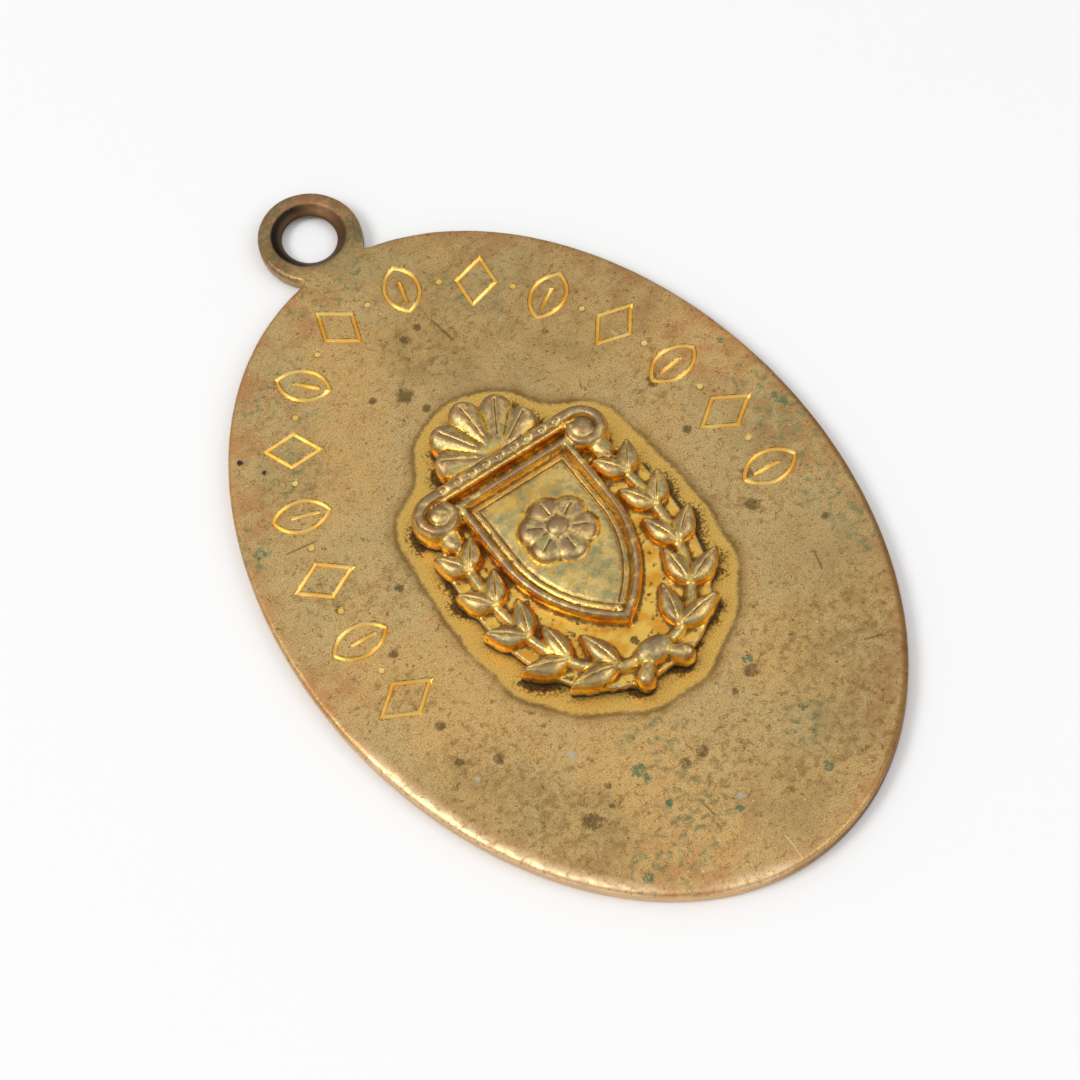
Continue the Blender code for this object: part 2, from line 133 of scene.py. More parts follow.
def add_node(tree, kind, inputs=None, **settings):
    """Adds a node with its settings.

    The inputs map a socket's name or number to a value, to another node's socket, or to another node,
    whose first open output is then linked.
    """
    node = tree.nodes.new(kind)
    for name, value in settings.items():
        setattr(node, name, value)
    for name, value in (inputs or {}).items():
        if isinstance(value, bpy.types.Node):
            value = next(output for output in value.outputs if output.enabled)
        if isinstance(value, bpy.types.NodeSocket):
            tree.links.new(value, node.inputs[name])
        else:
            node.inputs[name].default_value = value
    return node


# %% Helpers for meshes
def object_from(name, points, faces, material=None):
    """A mesh object from points in mm."""
    mesh = bpy.data.meshes.new(name)
    mesh.from_pydata([tuple(p) for p in points], [], [tuple(f) for f in faces])
    mesh.update()
    if material:
        mesh.materials.append(material)
    return placed(name, mesh)


def baked(item, name):
    """A plain copy of an object as its modifiers leave it; the object itself is removed."""
    graph = bpy.context.evaluated_depsgraph_get()
    mesh = bpy.data.meshes.new_from_object(item.evaluated_get(graph), depsgraph=graph)
    mesh.name = name
    bpy.data.objects.remove(item)
    return placed(name, mesh)


def points_of(mesh):
    """A mesh's points as an array with three columns."""
    flat = np.empty(len(mesh.vertices) * 3)
    mesh.vertices.foreach_get("co", flat)
    return flat.reshape(-1, 3)


def store(mesh, name, values):
    """Keeps one number for each point, for the material to read."""
    layer = mesh.attributes.new(name, "FLOAT", "POINT")
    layer.data.foreach_set("value", np.asarray(values, dtype=np.float32))


# %% [markdown]
# Sizes of the badge
#
# These are the driving sizes of the frame, in millimetres. The oval is a true ellipse. The eye is a
# little longer than it is wide, and its hole is funnel-shaped from both faces.

# %% Sizes
PLATE_LENGTH, PLATE_WIDTH, PLATE_THICKNESS = 68.0, 46.4, 1.5
EYE_LENGTH, EYE_WIDTH, EYE_BEYOND_RIM = 10.0, 8.9, 3.7
HOLE_BEYOND_RIM = 3.9
HOLE_MOUTH = (6.4, 6.9)
HOLE_THROAT = (4.7, 5.3)
NECK_WIDTH = 6.0
SHEET_STEP = 0.3

eye_y = PLATE_LENGTH / 2 + EYE_BEYOND_RIM
hole_y = PLATE_LENGTH / 2 + HOLE_BEYOND_RIM
print("length over the eye in mm:", eye_y + EYE_LENGTH / 2 + PLATE_LENGTH / 2)


# %% [markdown]
# The ornament, one form at a time
#
# A struck ornament is pressed from a steel die, so every form on it is a low mound with upright sides.
# One function makes such a mound on any outline. Its top draws in towards the middle as a quarter circle
# would, and a ridge can be kept, as on a leaf. The forms are made apart, rough, and fused later.

# %% Rings and lofts
RELIEF_ROOT = PLATE_THICKNESS - 0.25


def arc(turns, radius_x, radius_y, centre=(0.0, 0.0)):
    """Places on an ellipse at these turns."""
    return np.column_stack([centre[0] + radius_x * np.cos(turns), centre[1] + radius_y * np.sin(turns)])


def oval_ring(width, length, centre=(0.0, 0.0), count=48):
    """A whole ellipse of its own width and length."""
    return arc(np.linspace(0, 2 * math.pi, count, endpoint=False), width / 2, length / 2, centre)


def raised(ring, height):
    """A ring's places as points at a height, or each at its own."""
    return np.column_stack([ring, np.full(len(ring), 1.0) * height])


def quads_between(first, second, count):
    """The faces between two rings, each given by the number of its first point."""
    faces = []
    for i in range(count):
        following = (i + 1) % count
        faces.append((first + i, first + following, second + following, second + i))
    return faces


def side_through(rings):
    """Points and faces of a side that runs through rings of as many places, each with its height."""
    count = len(rings[0][0])
    faces = []
    for k in range(len(rings) - 1):
        faces += quads_between(k * count, (k + 1) * count, count)
    return np.concatenate([raised(ring, z) for ring, z in rings]), faces


def loft(rings):
    """The same, closed with a face at each end."""
    points, faces = side_through(rings)
    count = len(rings[0][0])
    faces.append(tuple(range(count - 1, -1, -1)))
    faces.append(tuple(range(len(points) - count, len(points))))
    return points, faces


# %% Mounds
MOUND_CLOSES_AT = math.radians(86)


def smooth_mound(outline, wall, crown, steps=7, ridge=0.0):
    """Points and faces of a mound whose heights are above the plate's face."""
    outline = np.asarray(outline, dtype=float)
    middle = outline.mean(axis=0)
    long_axis = outline[0] - middle
    long_axis /= np.linalg.norm(long_axis)
    along = ((outline - middle) @ long_axis)[:, None] * long_axis
    across = outline - middle - along
    rings = [(outline, RELIEF_ROOT)]
    for k in range(steps + 1):
        angle = MOUND_CLOSES_AT * k / steps
        keep = ridge + (1 - ridge) * math.cos(angle)
        height = PLATE_THICKNESS + wall + (crown - wall) * math.sin(angle)
        rings.append((middle + along * keep + across * math.cos(angle), height))
    return loft(rings)


def teardrop(length, width, count=36):
    """A lobe along +X with a round end and a narrow root at the origin, from its tip round."""
    radius, root = width / 2, width / 6
    half_arc = math.pi / 2 + math.asin((radius - root) / (length - radius))
    turns = np.linspace(-half_arc, half_arc, count)
    ends = arc(turns, radius, radius, (length - radius, 0.0))
    ring = np.vstack([ends, [[0.0, root], [0.0, -root]]])
    return np.roll(ring, -(count // 2), axis=0)


def pointed_leaf(length, width, count=20):
    """A leaf along +X from its stalk at the origin, from its tip round."""
    share = np.linspace(1, 0, count + 1)[1:]
    half = width * (0.05 + 0.45 * np.sin(math.pi * share ** 0.8))
    upper = np.column_stack([length * share, half])
    return np.vstack([[[length, 0.0]], upper, upper[::-1] * (1, -1)])


# %% [markdown]
# Node groups for what repeats
#
# The leaves, the petals and the engraved marks are copies that follow a path or turn round a point.
# Copying them by hand would bury the idea in numbers. A Geometry Nodes group holds the idea instead:
# points on a path, one form put on each, turned with the path. Its inputs have names, and each is set
# through its socket's identifier, because names may repeat.

# %% Run a node group
def new_group(name, inputs):
    """An empty node group with named inputs, and its input and output nodes."""
    tree = bpy.data.node_groups.new(name, "GeometryNodeTree")
    for label, kind in inputs.items():
        tree.interface.new_socket(label, in_out="INPUT", socket_type=kind)
    tree.interface.new_socket("Result", in_out="OUTPUT", socket_type="NodeSocketGeometry")
    return tree, tree.nodes.new("NodeGroupInput").outputs, tree.nodes.new("NodeGroupOutput").inputs


def finish_group(tree, copies, material, result):
    """Ends a group: copies become real geometry and get their material."""
    real = add_node(tree, "GeometryNodeRealizeInstances", {"Geometry": copies})
    painted = add_node(tree, "GeometryNodeSetMaterial", {"Geometry": real, "Material": material})
    tree.links.new(painted.outputs[0], result["Result"])


def run_group(tree, carrier, values, name):
    """Puts a group on an object, sets its inputs, and returns the result as a plain mesh object."""
    modifier = carrier.modifiers.new(tree.name, "NODES")
    modifier.node_group = tree
    sockets = {item.name: item.identifier for item in tree.interface.items_tree if item.in_out == "INPUT"}
    for label, value in values.items():
        modifier[sockets[label]] = value
    return baked(carrier, name)


def path_object(name, points):
    """A chain of edges through points in the level plane."""
    mesh = bpy.data.meshes.new(name)
    edges = [(i, i + 1) for i in range(len(points) - 1)]
    mesh.from_pydata([(x, y, 0.0) for x, y in points], edges, [])
    return placed(name, mesh)


# %% [markdown]
# A fan of lobes
#
# The rosette's petals and the palmette's lobes are the same idea: one lobe, turned about its root in
# equal steps. In the palmette the outer lobes are also shorter, so the group scales a lobe's length by
# how far it is from the middle of the fan.

# %% Fan group
def fan_group():
    tree, given, result = new_group("fan_of_lobes", {
        "Geometry": "NodeSocketGeometry",
        "Lobe": "NodeSocketObject",
        "Count": "NodeSocketInt",
        "First angle": "NodeSocketFloat",
        "Step angle": "NodeSocketFloat",
        "Outer length": "NodeSocketFloat",
        "Material": "NodeSocketMaterial",
    })
    lobe = add_node(tree, "GeometryNodeObjectInfo", {"Object": given["Lobe"]})
    line = add_node(tree, "GeometryNodeMeshLine", {"Count": given["Count"], "Offset": (0, 0, 0)})
    index = add_node(tree, "GeometryNodeInputIndex").outputs[0]
    angle = add_node(tree, "ShaderNodeMath", {
        0: index,
        1: given["Step angle"],
        2: given["First angle"],
    }, operation="MULTIPLY_ADD")
    turn = add_node(tree, "ShaderNodeCombineXYZ", {"Z": angle})
    last = add_node(tree, "ShaderNodeMath", {0: given["Count"], 1: 1.0}, operation="SUBTRACT")
    share = add_node(tree, "ShaderNodeMapRange", {"Value": index, 2: last, 3: -1.0, 4: 1.0})
    square = add_node(tree, "ShaderNodeMath", {0: share, 1: share}, operation="MULTIPLY")
    length = add_node(tree, "ShaderNodeMapRange", {"Value": square, 3: 1.0, 4: given["Outer length"]})
    scale = add_node(tree, "ShaderNodeCombineXYZ", {"X": length, "Y": 1.0, "Z": 1.0})
    copies = add_node(tree, "GeometryNodeInstanceOnPoints", {
        "Points": line,
        "Instance": lobe.outputs["Geometry"],
        "Rotation": turn,
        "Scale": scale,
    })
    finish_group(tree, copies, given["Material"], result)
    return tree


def moved(item, x, y):
    """Moves a mesh's own points, so that the object stays at the origin."""
    item.data.transform(Matrix.Translation((x, y, 0.0)))
    return item


# %% Rosette and palmette
# A wall is how high a mound's upright side goes, and the height is that of its crown, above the plate
SHIELD_TOP = 6.3
ROSETTE_Y = SHIELD_TOP - 7.0
SCROLL_WIDTH, SCROLL_CLEARANCE = 1.7, 0.6
SCROLL_Y = SHIELD_TOP + SCROLL_CLEARANCE + SCROLL_WIDTH / 2
PETALS, PETAL_LENGTH, PETAL_WIDTH, PETAL_WALL, PETAL_HEIGHT = 6, 3.2, 2.9, 1.9, 2.6
BOSS_DIAMETER, BOSS_WALL, BOSS_HEIGHT = 1.8, 2.5, 2.9
LOBES, LOBE_WIDTH, LOBE_WALL, LOBE_HEIGHT, LOBE_RIDGE = 5, 2.8, 1.2, 2.2, 0.35
LOBE_LENGTH, LOBE_OUTER_LENGTH = 6.7, 5.3
PALMETTE_SPREAD = math.radians(58)

struck = bpy.data.materials.new("struck_gilt_brass")
fan = fan_group()


def fan_of(name, lobe_shape, values, y):
    lobe = object_from(f"{name}_lobe", *lobe_shape)
    carrier = object_from(f"{name}_carrier", [], [])
    made = run_group(fan, carrier, {"Lobe": lobe, "Material": struck, **values}, name)
    bpy.data.objects.remove(lobe)
    return moved(made, 0.0, y)


rosette_values = {
    "Count": PETALS,
    "First angle": math.pi / 2,
    "Step angle": 2 * math.pi / PETALS,
    "Outer length": 1.0,
}
palmette_values = {
    "Count": LOBES,
    "First angle": math.pi / 2 - PALMETTE_SPREAD,
    "Step angle": 2 * PALMETTE_SPREAD / (LOBES - 1),
    "Outer length": LOBE_OUTER_LENGTH / LOBE_LENGTH,
}
petal = smooth_mound(teardrop(PETAL_LENGTH, PETAL_WIDTH), PETAL_WALL, PETAL_HEIGHT)
rosette = fan_of("rosette", petal, rosette_values, ROSETTE_Y)
lobe = smooth_mound(teardrop(LOBE_LENGTH, LOBE_WIDTH), LOBE_WALL, LOBE_HEIGHT, ridge=LOBE_RIDGE)
palmette = fan_of("palmette", lobe, palmette_values, SCROLL_Y)
boss_ring = oval_ring(BOSS_DIAMETER, BOSS_DIAMETER, (0.0, ROSETTE_Y))
boss = object_from("boss", *smooth_mound(boss_ring, BOSS_WALL, BOSS_HEIGHT))
print("rosette and palmette:", len(rosette.data.polygons), "and", len(palmette.data.polygons), "faces")


# %% [markdown]
# Shield
#
# The shield has a raised border round a field that swells like a cushion. Rings that step inwards from
# the outline give both: up the outside, over the border, down its inner side, and up over the swell.

# %% Move an outline inwards
def unit(vectors):
    """The vectors, each made 1 long."""
    return vectors / np.linalg.norm(vectors, axis=1)[:, None]


def turned_left(vectors):
    """The vectors, each turned a quarter to the left."""
    return np.column_stack([-vectors[:, 1], vectors[:, 0]])


def inset(outline, distance):
    """Moves a counter-clockwise outline inwards, mitred at its corners."""
    normal = turned_left(unit(outline - np.roll(outline, 1, axis=0)))
    bisector = unit(normal + turned_left(unit(np.roll(outline, -1, axis=0) - outline)))
    return outline + bisector * (distance / (bisector * normal).sum(axis=1))[:, None]


# %% Shield
SHIELD_WIDTH, SHIELD_HEIGHT, SHIELD_STRAIGHT = 11.0, 17.0, 6.8
# How far in from the outline, and how high above the plate
SHIELD_BORDER = ((0.0, 1.55), (0.12, 1.85), (0.28, 2.1), (0.6, 2.12), (0.78, 1.8), (0.92, 1.35))
FIELD_SWELL = 0.65
FIELD_STEPS = 10


def shield_outline():
    """Straight sides from the top, then an arc on each side down to the point."""
    half, drop = SHIELD_WIDTH / 2, SHIELD_HEIGHT - SHIELD_STRAIGHT
    radius = (half ** 2 + drop ** 2) / (2 * half)
    turns = np.linspace(-math.asin(drop / radius), 0, 24)
    spring = SHIELD_TOP - SHIELD_STRAIGHT
    right = arc(turns, radius, radius, (half - radius, spring))
    right = np.vstack([right, [[half, SHIELD_TOP]]])
    return np.vstack([right, right[:0:-1] * (-1, 1)])


def shield_form():
    """The border's rings, then those of the field, which rise like part of a ball."""
    outline = shield_outline()
    rings = [(outline, RELIEF_ROOT)]
    rings += [(inset(outline, distance), PLATE_THICKNESS + height) for distance, height in SHIELD_BORDER]
    border_width, foot_height = SHIELD_BORDER[-1]
    field = inset(outline, border_width)
    middle = field.mean(axis=0)
    for share in np.linspace(0.94, 0.06, FIELD_STEPS):
        swell = foot_height + FIELD_SWELL * math.sqrt(1 - share ** 2)
        rings.append((middle + (field - middle) * share, PLATE_THICKNESS + swell))
    return loft(rings)


shield = object_from("shield", *shield_form())
print("shield:", len(shield.data.polygons), "faces")


# %% [markdown]
# Scroll
#
# The bar over the shield ends in two volutes. It is one half-round band along one path: a spiral in, a
# straight run and a spiral out. The band narrows towards its tips, and a button closes each spiral.

# %% Half-round bands
def left_of(path):
    """Which way is left at each place of an open path."""
    return turned_left(unit(np.gradient(path, axis=0)))


def band(path, halves, wall, crown):
    """A half-round band along a path, with upright sides."""
    turns = np.linspace(0, math.pi, 13)
    offsets = np.concatenate([[-1.0], -np.cos(turns), [1.0]])
    top = PLATE_THICKNESS + wall + (crown - wall) * np.sin(turns)
    heights = np.concatenate([[RELIEF_ROOT], top, [RELIEF_ROOT]])
    points = []
    for place, left, half in zip(path, left_of(path), halves):
        points += [(*(place + left * half * offset), z) for offset, z in zip(offsets, heights)]
    count = len(offsets)
    faces = []
    for k in range(len(path) - 1):
        faces += quads_between(k * count, (k + 1) * count, count)
    faces.append(tuple(range(count)))
    faces.append(tuple(range((len(path) - 1) * count, len(path) * count))[::-1])
    return points, faces


# %% Scroll
VOLUTE_RADIUS, VOLUTE_END_RADIUS, VOLUTE_TURN = 1.8, 0.95, math.radians(325)
VOLUTE_OVERHANG, SCROLL_TIP_WIDTH = 1.3, 0.9
SCROLL_WALL, SCROLL_HEIGHT = 1.1, 2.4
BUTTON_DIAMETER, BUTTON_WALL, BUTTON_HEIGHT = 1.9, 2.1, 2.6
DISC_DIAMETER, DISC_WALL, DISC_HEIGHT = 3.6, 0.85, 0.9
CURL_PLACES, BAR_PLACES = 48, 23

volute = (SHIELD_WIDTH / 2 + VOLUTE_OVERHANG, SCROLL_Y - VOLUTE_RADIUS)


def scroll_path():
    """The scroll's middle line, and half its width at each place."""
    share = np.linspace(0, 1, CURL_PLACES)
    turns = math.pi / 2 - VOLUTE_TURN * share
    radius = VOLUTE_RADIUS + (VOLUTE_END_RADIUS - VOLUTE_RADIUS) * share
    curl = arc(turns, radius, radius, volute)
    halves = (SCROLL_WIDTH + (SCROLL_TIP_WIDTH - SCROLL_WIDTH) * share) / 2
    across = np.linspace(-volute[0], volute[0], BAR_PLACES + 2)[1:-1]
    bar = np.column_stack([across, np.full(BAR_PLACES, SCROLL_Y)])
    path = np.vstack([curl[::-1] * (-1, 1), bar, curl])
    return path, np.concatenate([halves[::-1], np.full(BAR_PLACES, SCROLL_WIDTH / 2), halves])


def in_both_volutes(name, diameter, wall, height):
    """The same round mound in the middle of each volute."""
    mounds = []
    for side in (-1, 1):
        ring = oval_ring(diameter, diameter, (side * volute[0], volute[1]))
        mounds.append(object_from(f"{name}_{side}", *smooth_mound(ring, wall, height)))
    return mounds


scroll = object_from("scroll", *band(*scroll_path(), SCROLL_WALL, SCROLL_HEIGHT))
buttons = in_both_volutes("button", BUTTON_DIAMETER, BUTTON_WALL, BUTTON_HEIGHT)
discs = in_both_volutes("disc", DISC_DIAMETER, DISC_WALL, DISC_HEIGHT)
print("scroll:", len(scroll.data.polygons), "faces")


# %% [markdown]
# Laurel sprigs
#
# A stem bends up each side of the shield, with leaves in pairs. The stem is a Bezier curve. The node
# group puts points along it, turns a leaf a third of a right angle to each side of the stem's direction,
# and lets the leaves grow a little shorter towards the top.

# %% Nodes that follow a path
def points_along(tree, path, count):
    """Adds nodes for even points along a path, and for the turn that faces ahead at each."""
    curve = add_node(tree, "GeometryNodeMeshToCurve", {"Mesh": path})
    places = add_node(tree, "GeometryNodeResampleCurve", {"Curve": curve, "Count": count})
    tangent = add_node(tree, "GeometryNodeInputTangent")
    ahead = add_node(tree, "FunctionNodeAlignRotationToVector", {
        "Vector": tangent,
    }, axis="X", pivot_axis="Z")
    return places, ahead


def leaned(tree, rotation, angle):
    """Adds nodes that lean a rotation by an angle to the left."""
    turn = add_node(tree, "ShaderNodeCombineXYZ", {"Z": angle})
    return add_node(tree, "FunctionNodeRotateRotation", {
        "Rotation": rotation,
        "Rotate By": turn,
    }, rotation_space="LOCAL")


# %% Laurel group
def laurel_group():
    tree, given, result = new_group("laurel_leaves", {
        "Stem": "NodeSocketGeometry",
        "Leaf": "NodeSocketObject",
        "Pairs": "NodeSocketInt",
        "Lean": "NodeSocketFloat",
        "Top length": "NodeSocketFloat",
        "Material": "NodeSocketMaterial",
    })
    leaf = add_node(tree, "GeometryNodeObjectInfo", {"Object": given["Leaf"]})
    places, ahead = points_along(tree, given["Stem"], given["Pairs"])
    factor = add_node(tree, "GeometryNodeSplineParameter").outputs["Factor"]
    length = add_node(tree, "ShaderNodeMapRange", {"Value": factor, 3: 1.0, 4: given["Top length"]})
    scale = add_node(tree, "ShaderNodeCombineXYZ", {"X": length, "Y": 1.0, "Z": 1.0})
    both = add_node(tree, "GeometryNodeJoinGeometry")
    for sign in (-1.0, 1.0):
        lean = add_node(tree, "ShaderNodeMath", {0: given["Lean"], 1: sign}, operation="MULTIPLY")
        copies = add_node(tree, "GeometryNodeInstanceOnPoints", {
            "Points": places,
            "Instance": leaf.outputs["Geometry"],
            "Rotation": leaned(tree, ahead, lean),
            "Scale": scale,
        })
        tree.links.new(copies.outputs[0], both.inputs[0])
    finish_group(tree, both, given["Material"], result)
    return tree


# %% Stems and leaves
KNOT_Y = SHIELD_TOP - SHIELD_HEIGHT - 3.0
STEM_BEND = ((0.08, 0.0), (0.86, 0.0), (1.13, 0.5), (0.98, 1.0))
STEM_CLEARANCE, STEM_WIDTH, STEM_WALL, STEM_HEIGHT = 2.0, 1.0, 0.9, 1.6
LEAF_PAIRS, LEAF_LENGTH, LEAF_TOP_LENGTH, LEAF_WIDTH = 5, 4.3, 3.3, 1.9
LEAF_WALL, LEAF_HEIGHT, LEAF_RIDGE = 1.1, 2.0, 0.55
LEAF_LEAN = math.radians(33)


def stem(shares):
    """Places on the right-hand stem, from the knot to below the volute."""
    rise = volute[1] - VOLUTE_RADIUS - LEAF_TOP_LENGTH / 2 - KNOT_Y
    reach = SHIELD_WIDTH / 2 + STEM_CLEARANCE
    corners = np.array(STEM_BEND) * (reach, rise) + (0.0, KNOT_Y)
    t = np.asarray(shares, dtype=float)[:, None]
    weights = np.hstack([(1 - t) ** 3, 3 * (1 - t) ** 2 * t, 3 * (1 - t) * t ** 2, t ** 3])
    return weights @ corners


stem_line = stem(np.linspace(0, 1, 60))
stem_halves = np.full(len(stem_line), STEM_WIDTH / 2)
stem_right = object_from("stem_right", *band(stem_line, stem_halves, STEM_WALL, STEM_HEIGHT))
leaf_shape = smooth_mound(pointed_leaf(LEAF_LENGTH, LEAF_WIDTH), LEAF_WALL, LEAF_HEIGHT, ridge=LEAF_RIDGE)
leaf = object_from("leaf", *leaf_shape)
laurel = laurel_group()
laurel_values = {
    "Pairs": LEAF_PAIRS,
    "Lean": LEAF_LEAN,
    "Top length": LEAF_TOP_LENGTH / LEAF_LENGTH,
}
leafy_line = stem(np.linspace(0.14, 0.92, 40))
leaf_path = path_object("leaf_path", leafy_line)
leaf_values = {"Leaf": leaf, "Material": struck, **laurel_values}
leaves_right = run_group(laurel, leaf_path, leaf_values, "leaves_right")
print("leaves on one sprig:", 2 * LEAF_PAIRS + 1)

# %% Leaf at the tip
before_tip, tip = stem([0.97, 1.0])
heading = math.atan2(*(tip - before_tip)[::-1])
shorten = Matrix.Scale(LEAF_TOP_LENGTH / LEAF_LENGTH, 4, (1, 0, 0))
leaf.data.transform(Matrix.Translation((*tip, 0.0)) @ Matrix.Rotation(heading, 4, "Z") @ shorten)


# %% Ground, knot and ribbons
GROUND_MARGIN, GROUND_HEIGHT = 1.6, 0.9
KNOT_WIDTH, KNOT_LENGTH, KNOT_WALL, KNOT_HEIGHT = 3.4, 2.3, 1.3, 2.3
RIBBON_LENGTH, RIBBON_WIDTH, RIBBON_WALL, RIBBON_HEIGHT = 3.2, 1.6, 1.1, 2.0
RIBBON_ANGLE = math.radians(-40)


def ground_outline():
    """The struck sheet's edge: outside the stems, up to the scroll."""
    right = stem_line - GROUND_MARGIN * left_of(stem_line)
    right = np.vstack([right, [volute, (volute[0], SCROLL_Y)]])
    return np.vstack([right, right[::-1] * (-1, 1)])


def mirror_of(item, name):
    """The other half: the mesh turned over in the middle line."""
    mesh = item.data.copy()
    mesh.transform(Matrix.Scale(-1, 4, (1, 0, 0)))
    mesh.flip_normals()
    return placed(name, mesh)


outline = ground_outline()
ground_form = loft([(outline, RELIEF_ROOT), (outline, PLATE_THICKNESS + GROUND_HEIGHT)])
ground = object_from("ground", *ground_form)
knot_ring = oval_ring(KNOT_WIDTH, KNOT_LENGTH, (0.0, KNOT_Y))
knot = object_from("knot", *smooth_mound(knot_ring, KNOT_WALL, KNOT_HEIGHT))
turn = Matrix.Rotation(RIBBON_ANGLE, 2)
ribbon_ring = [turn @ Vector(p) + Vector((0.0, KNOT_Y)) for p in teardrop(RIBBON_LENGTH, RIBBON_WIDTH)]
ribbon = object_from("ribbon", *smooth_mound(ribbon_ring, RIBBON_WALL, RIBBON_HEIGHT))
sprig = [stem_right, leaves_right, leaf, ribbon]
sprig += [mirror_of(item, f"{item.name}_left") for item in sprig]


# %% [markdown]
# Fuse the ornament
#
# On a struck piece no form starts or ends sharply: metal flows into the die, and wear and gilding round
# what is left. A voxel remesh does the same to a model. It casts all the forms as one skin of even small
# faces, and a few rounds of smoothing take the steps out. Unlike a Boolean union it doesn't care that
# the forms cut through each other anyhow. The flat underside is hidden in the plate, so its thousands of
# small faces are dissolved into one.

# %% Remesh and smooth
VOXEL = 0.106
SMOOTH_ROUNDS = 6
# A face whose normal has its Z below this looks straight down
STRAIGHT_DOWN = -0.999

forms = [ground, shield, rosette, boss, palmette, scroll, knot] + buttons + discs + sprig
joined = bmesh.new()
for item in forms:
    joined.from_mesh(item.data)
    bpy.data.objects.remove(item)
mesh = bpy.data.meshes.new("forms")
joined.to_mesh(mesh)
joined.free()
relief = placed("forms", mesh)
remesh = relief.modifiers.new("cast", "REMESH")
remesh.mode = "VOXEL"
remesh.voxel_size = VOXEL
soften = relief.modifiers.new("soften", "SMOOTH")
soften.factor = 0.5
soften.iterations = SMOOTH_ROUNDS
relief = baked(relief, "struck_relief")
relief.data.materials.clear()
relief.data.materials.append(struck)

# %% Dissolve the underside
def underside(faces):
    """Those of the faces that look straight down."""
    return [face for face in faces if face.normal.z < STRAIGHT_DOWN]


remeshed = bmesh.new()
remeshed.from_mesh(relief.data)
remeshed.normal_update()
print("remeshed relief:", len(remeshed.faces), "faces, underneath:", len(underside(remeshed.faces)))
inner = [v for v in remeshed.verts if v.link_faces and len(underside(v.link_faces)) == len(v.link_faces)]
bmesh.ops.dissolve_verts(remeshed, verts=inner)
remeshed.to_mesh(relief.data)
remeshed.free()
print("relief without them:", len(relief.data.polygons), "faces")


# %% [markdown]
# Chasing
#
# A die gives the forms, and a chaser sharpens them afterwards: with a blunt steel punch they set down a
# rib along each leaf and lobe, two lines along the scroll and a row of small rings between them. Each
# line here is a row of places, and every point of the surface sinks by how near it is to one. The ribs
# come from the same node groups as the leaves and lobes, given a rib in place of a leaf, so they are
# sure to lie where the leaves lie.

# %% Ribs where the leaves and lobes lie
CHASED_STEP = 0.06
# Where a rib starts and ends along its leaf, petal or lobe
LEAF_RIB, PETAL_RIB, LOBE_RIB = (0.5, LEAF_LENGTH - 0.7), (1.3, 2.4), (2.4, 5.9)


def rib_object(start, end):
    """A straight row of places along X."""
    places = np.arange(start, end, CHASED_STEP)
    return path_object("rib", np.column_stack([places, np.zeros(len(places))]))


def rib_places(group, carrier, label, rib, values, y=0.0):
    """Where a node group puts a rib, as places in the level plane."""
    made = run_group(group, carrier, {label: rib, "Material": struck, **values}, "ribs")
    places = points_of(made.data)[:, :2] + (0.0, y)
    bpy.data.objects.remove(made)
    bpy.data.objects.remove(rib)
    return places


def fan_ribs(span, values, y):
    """Ribs for the rosette's petals or the palmette's lobes."""
    return rib_places(fan, object_from("rib_carrier", [], []), "Lobe", rib_object(*span), values, y)


rib_path = path_object("rib_path", leafy_line)
leaf_ribs = rib_places(laurel, rib_path, "Leaf", rib_object(*LEAF_RIB), laurel_values)
petal_ribs = fan_ribs(PETAL_RIB, rosette_values, ROSETTE_Y)
lobe_ribs = fan_ribs(LOBE_RIB, palmette_values, SCROLL_Y)
print("places on ribs:", 2 * len(leaf_ribs) + len(petal_ribs) + len(lobe_ribs))

# %% Lines and rings of the scroll and the shield
# The share of the half-width at which a line runs, and how many of the scroll's places it leaves out
# at each end
SCROLL_LINE, SCROLL_LINE_ENDS = 0.62, 30
SHIELD_LINE_INSET = 1.5
RING_DIAMETER, RING_STEP = 0.62, 1.35


def run_of(path):
    """How far along a path each of its places lies."""
    return np.concatenate([[0], np.cumsum(np.linalg.norm(np.diff(path, axis=0), axis=1))])


def at_runs(path, wanted):
    """The places that lie so far along a path."""
    run = run_of(path)
    return np.column_stack([np.interp(wanted, run, path[:, axis]) for axis in (0, 1)])


def chased_line(path):
    """Close even places along an open path."""
    return at_runs(path, np.arange(0, run_of(path)[-1], CHASED_STEP))


def along_scroll(offset):
    """A line along the scroll, at a share of its half-width from its middle."""
    path, halves = scroll_path()
    shifted = path + left_of(path) * (halves * offset)[:, None]
    return chased_line(shifted[SCROLL_LINE_ENDS:-SCROLL_LINE_ENDS])


ring_middles = np.arange(-4 * RING_STEP, 4.5 * RING_STEP, RING_STEP)
chased = np.vstack([
    leaf_ribs,
    leaf_ribs * (-1, 1),
    petal_ribs,
    lobe_ribs,
    along_scroll(SCROLL_LINE),
    along_scroll(-SCROLL_LINE),
    chased_line(inset(shield_outline(), SHIELD_LINE_INSET)),
    *[oval_ring(RING_DIAMETER, RING_DIAMETER, (x, SCROLL_Y), 16) for x in ring_middles],
])
print("places on chased lines:", len(chased))

# %% Sink the surface along them
CHASED_DEPTH, CHASED_WIDTH = 0.14, 0.12
CHASED_ABOVE = PLATE_THICKNESS + 1.0


def search_tree(targets):
    """A tree that finds the nearest of some places in the level plane."""
    tree = kdtree.KDTree(len(targets))
    for i, (x, y) in enumerate(targets):
        tree.insert((x, y, 0.0), i)
    tree.balance()
    return tree


def distances(points, targets):
    """How far each point is from the nearest target, in the level plane."""
    tree = search_tree(targets)
    return np.array([tree.find((x, y, 0.0))[2] for x, y in points])


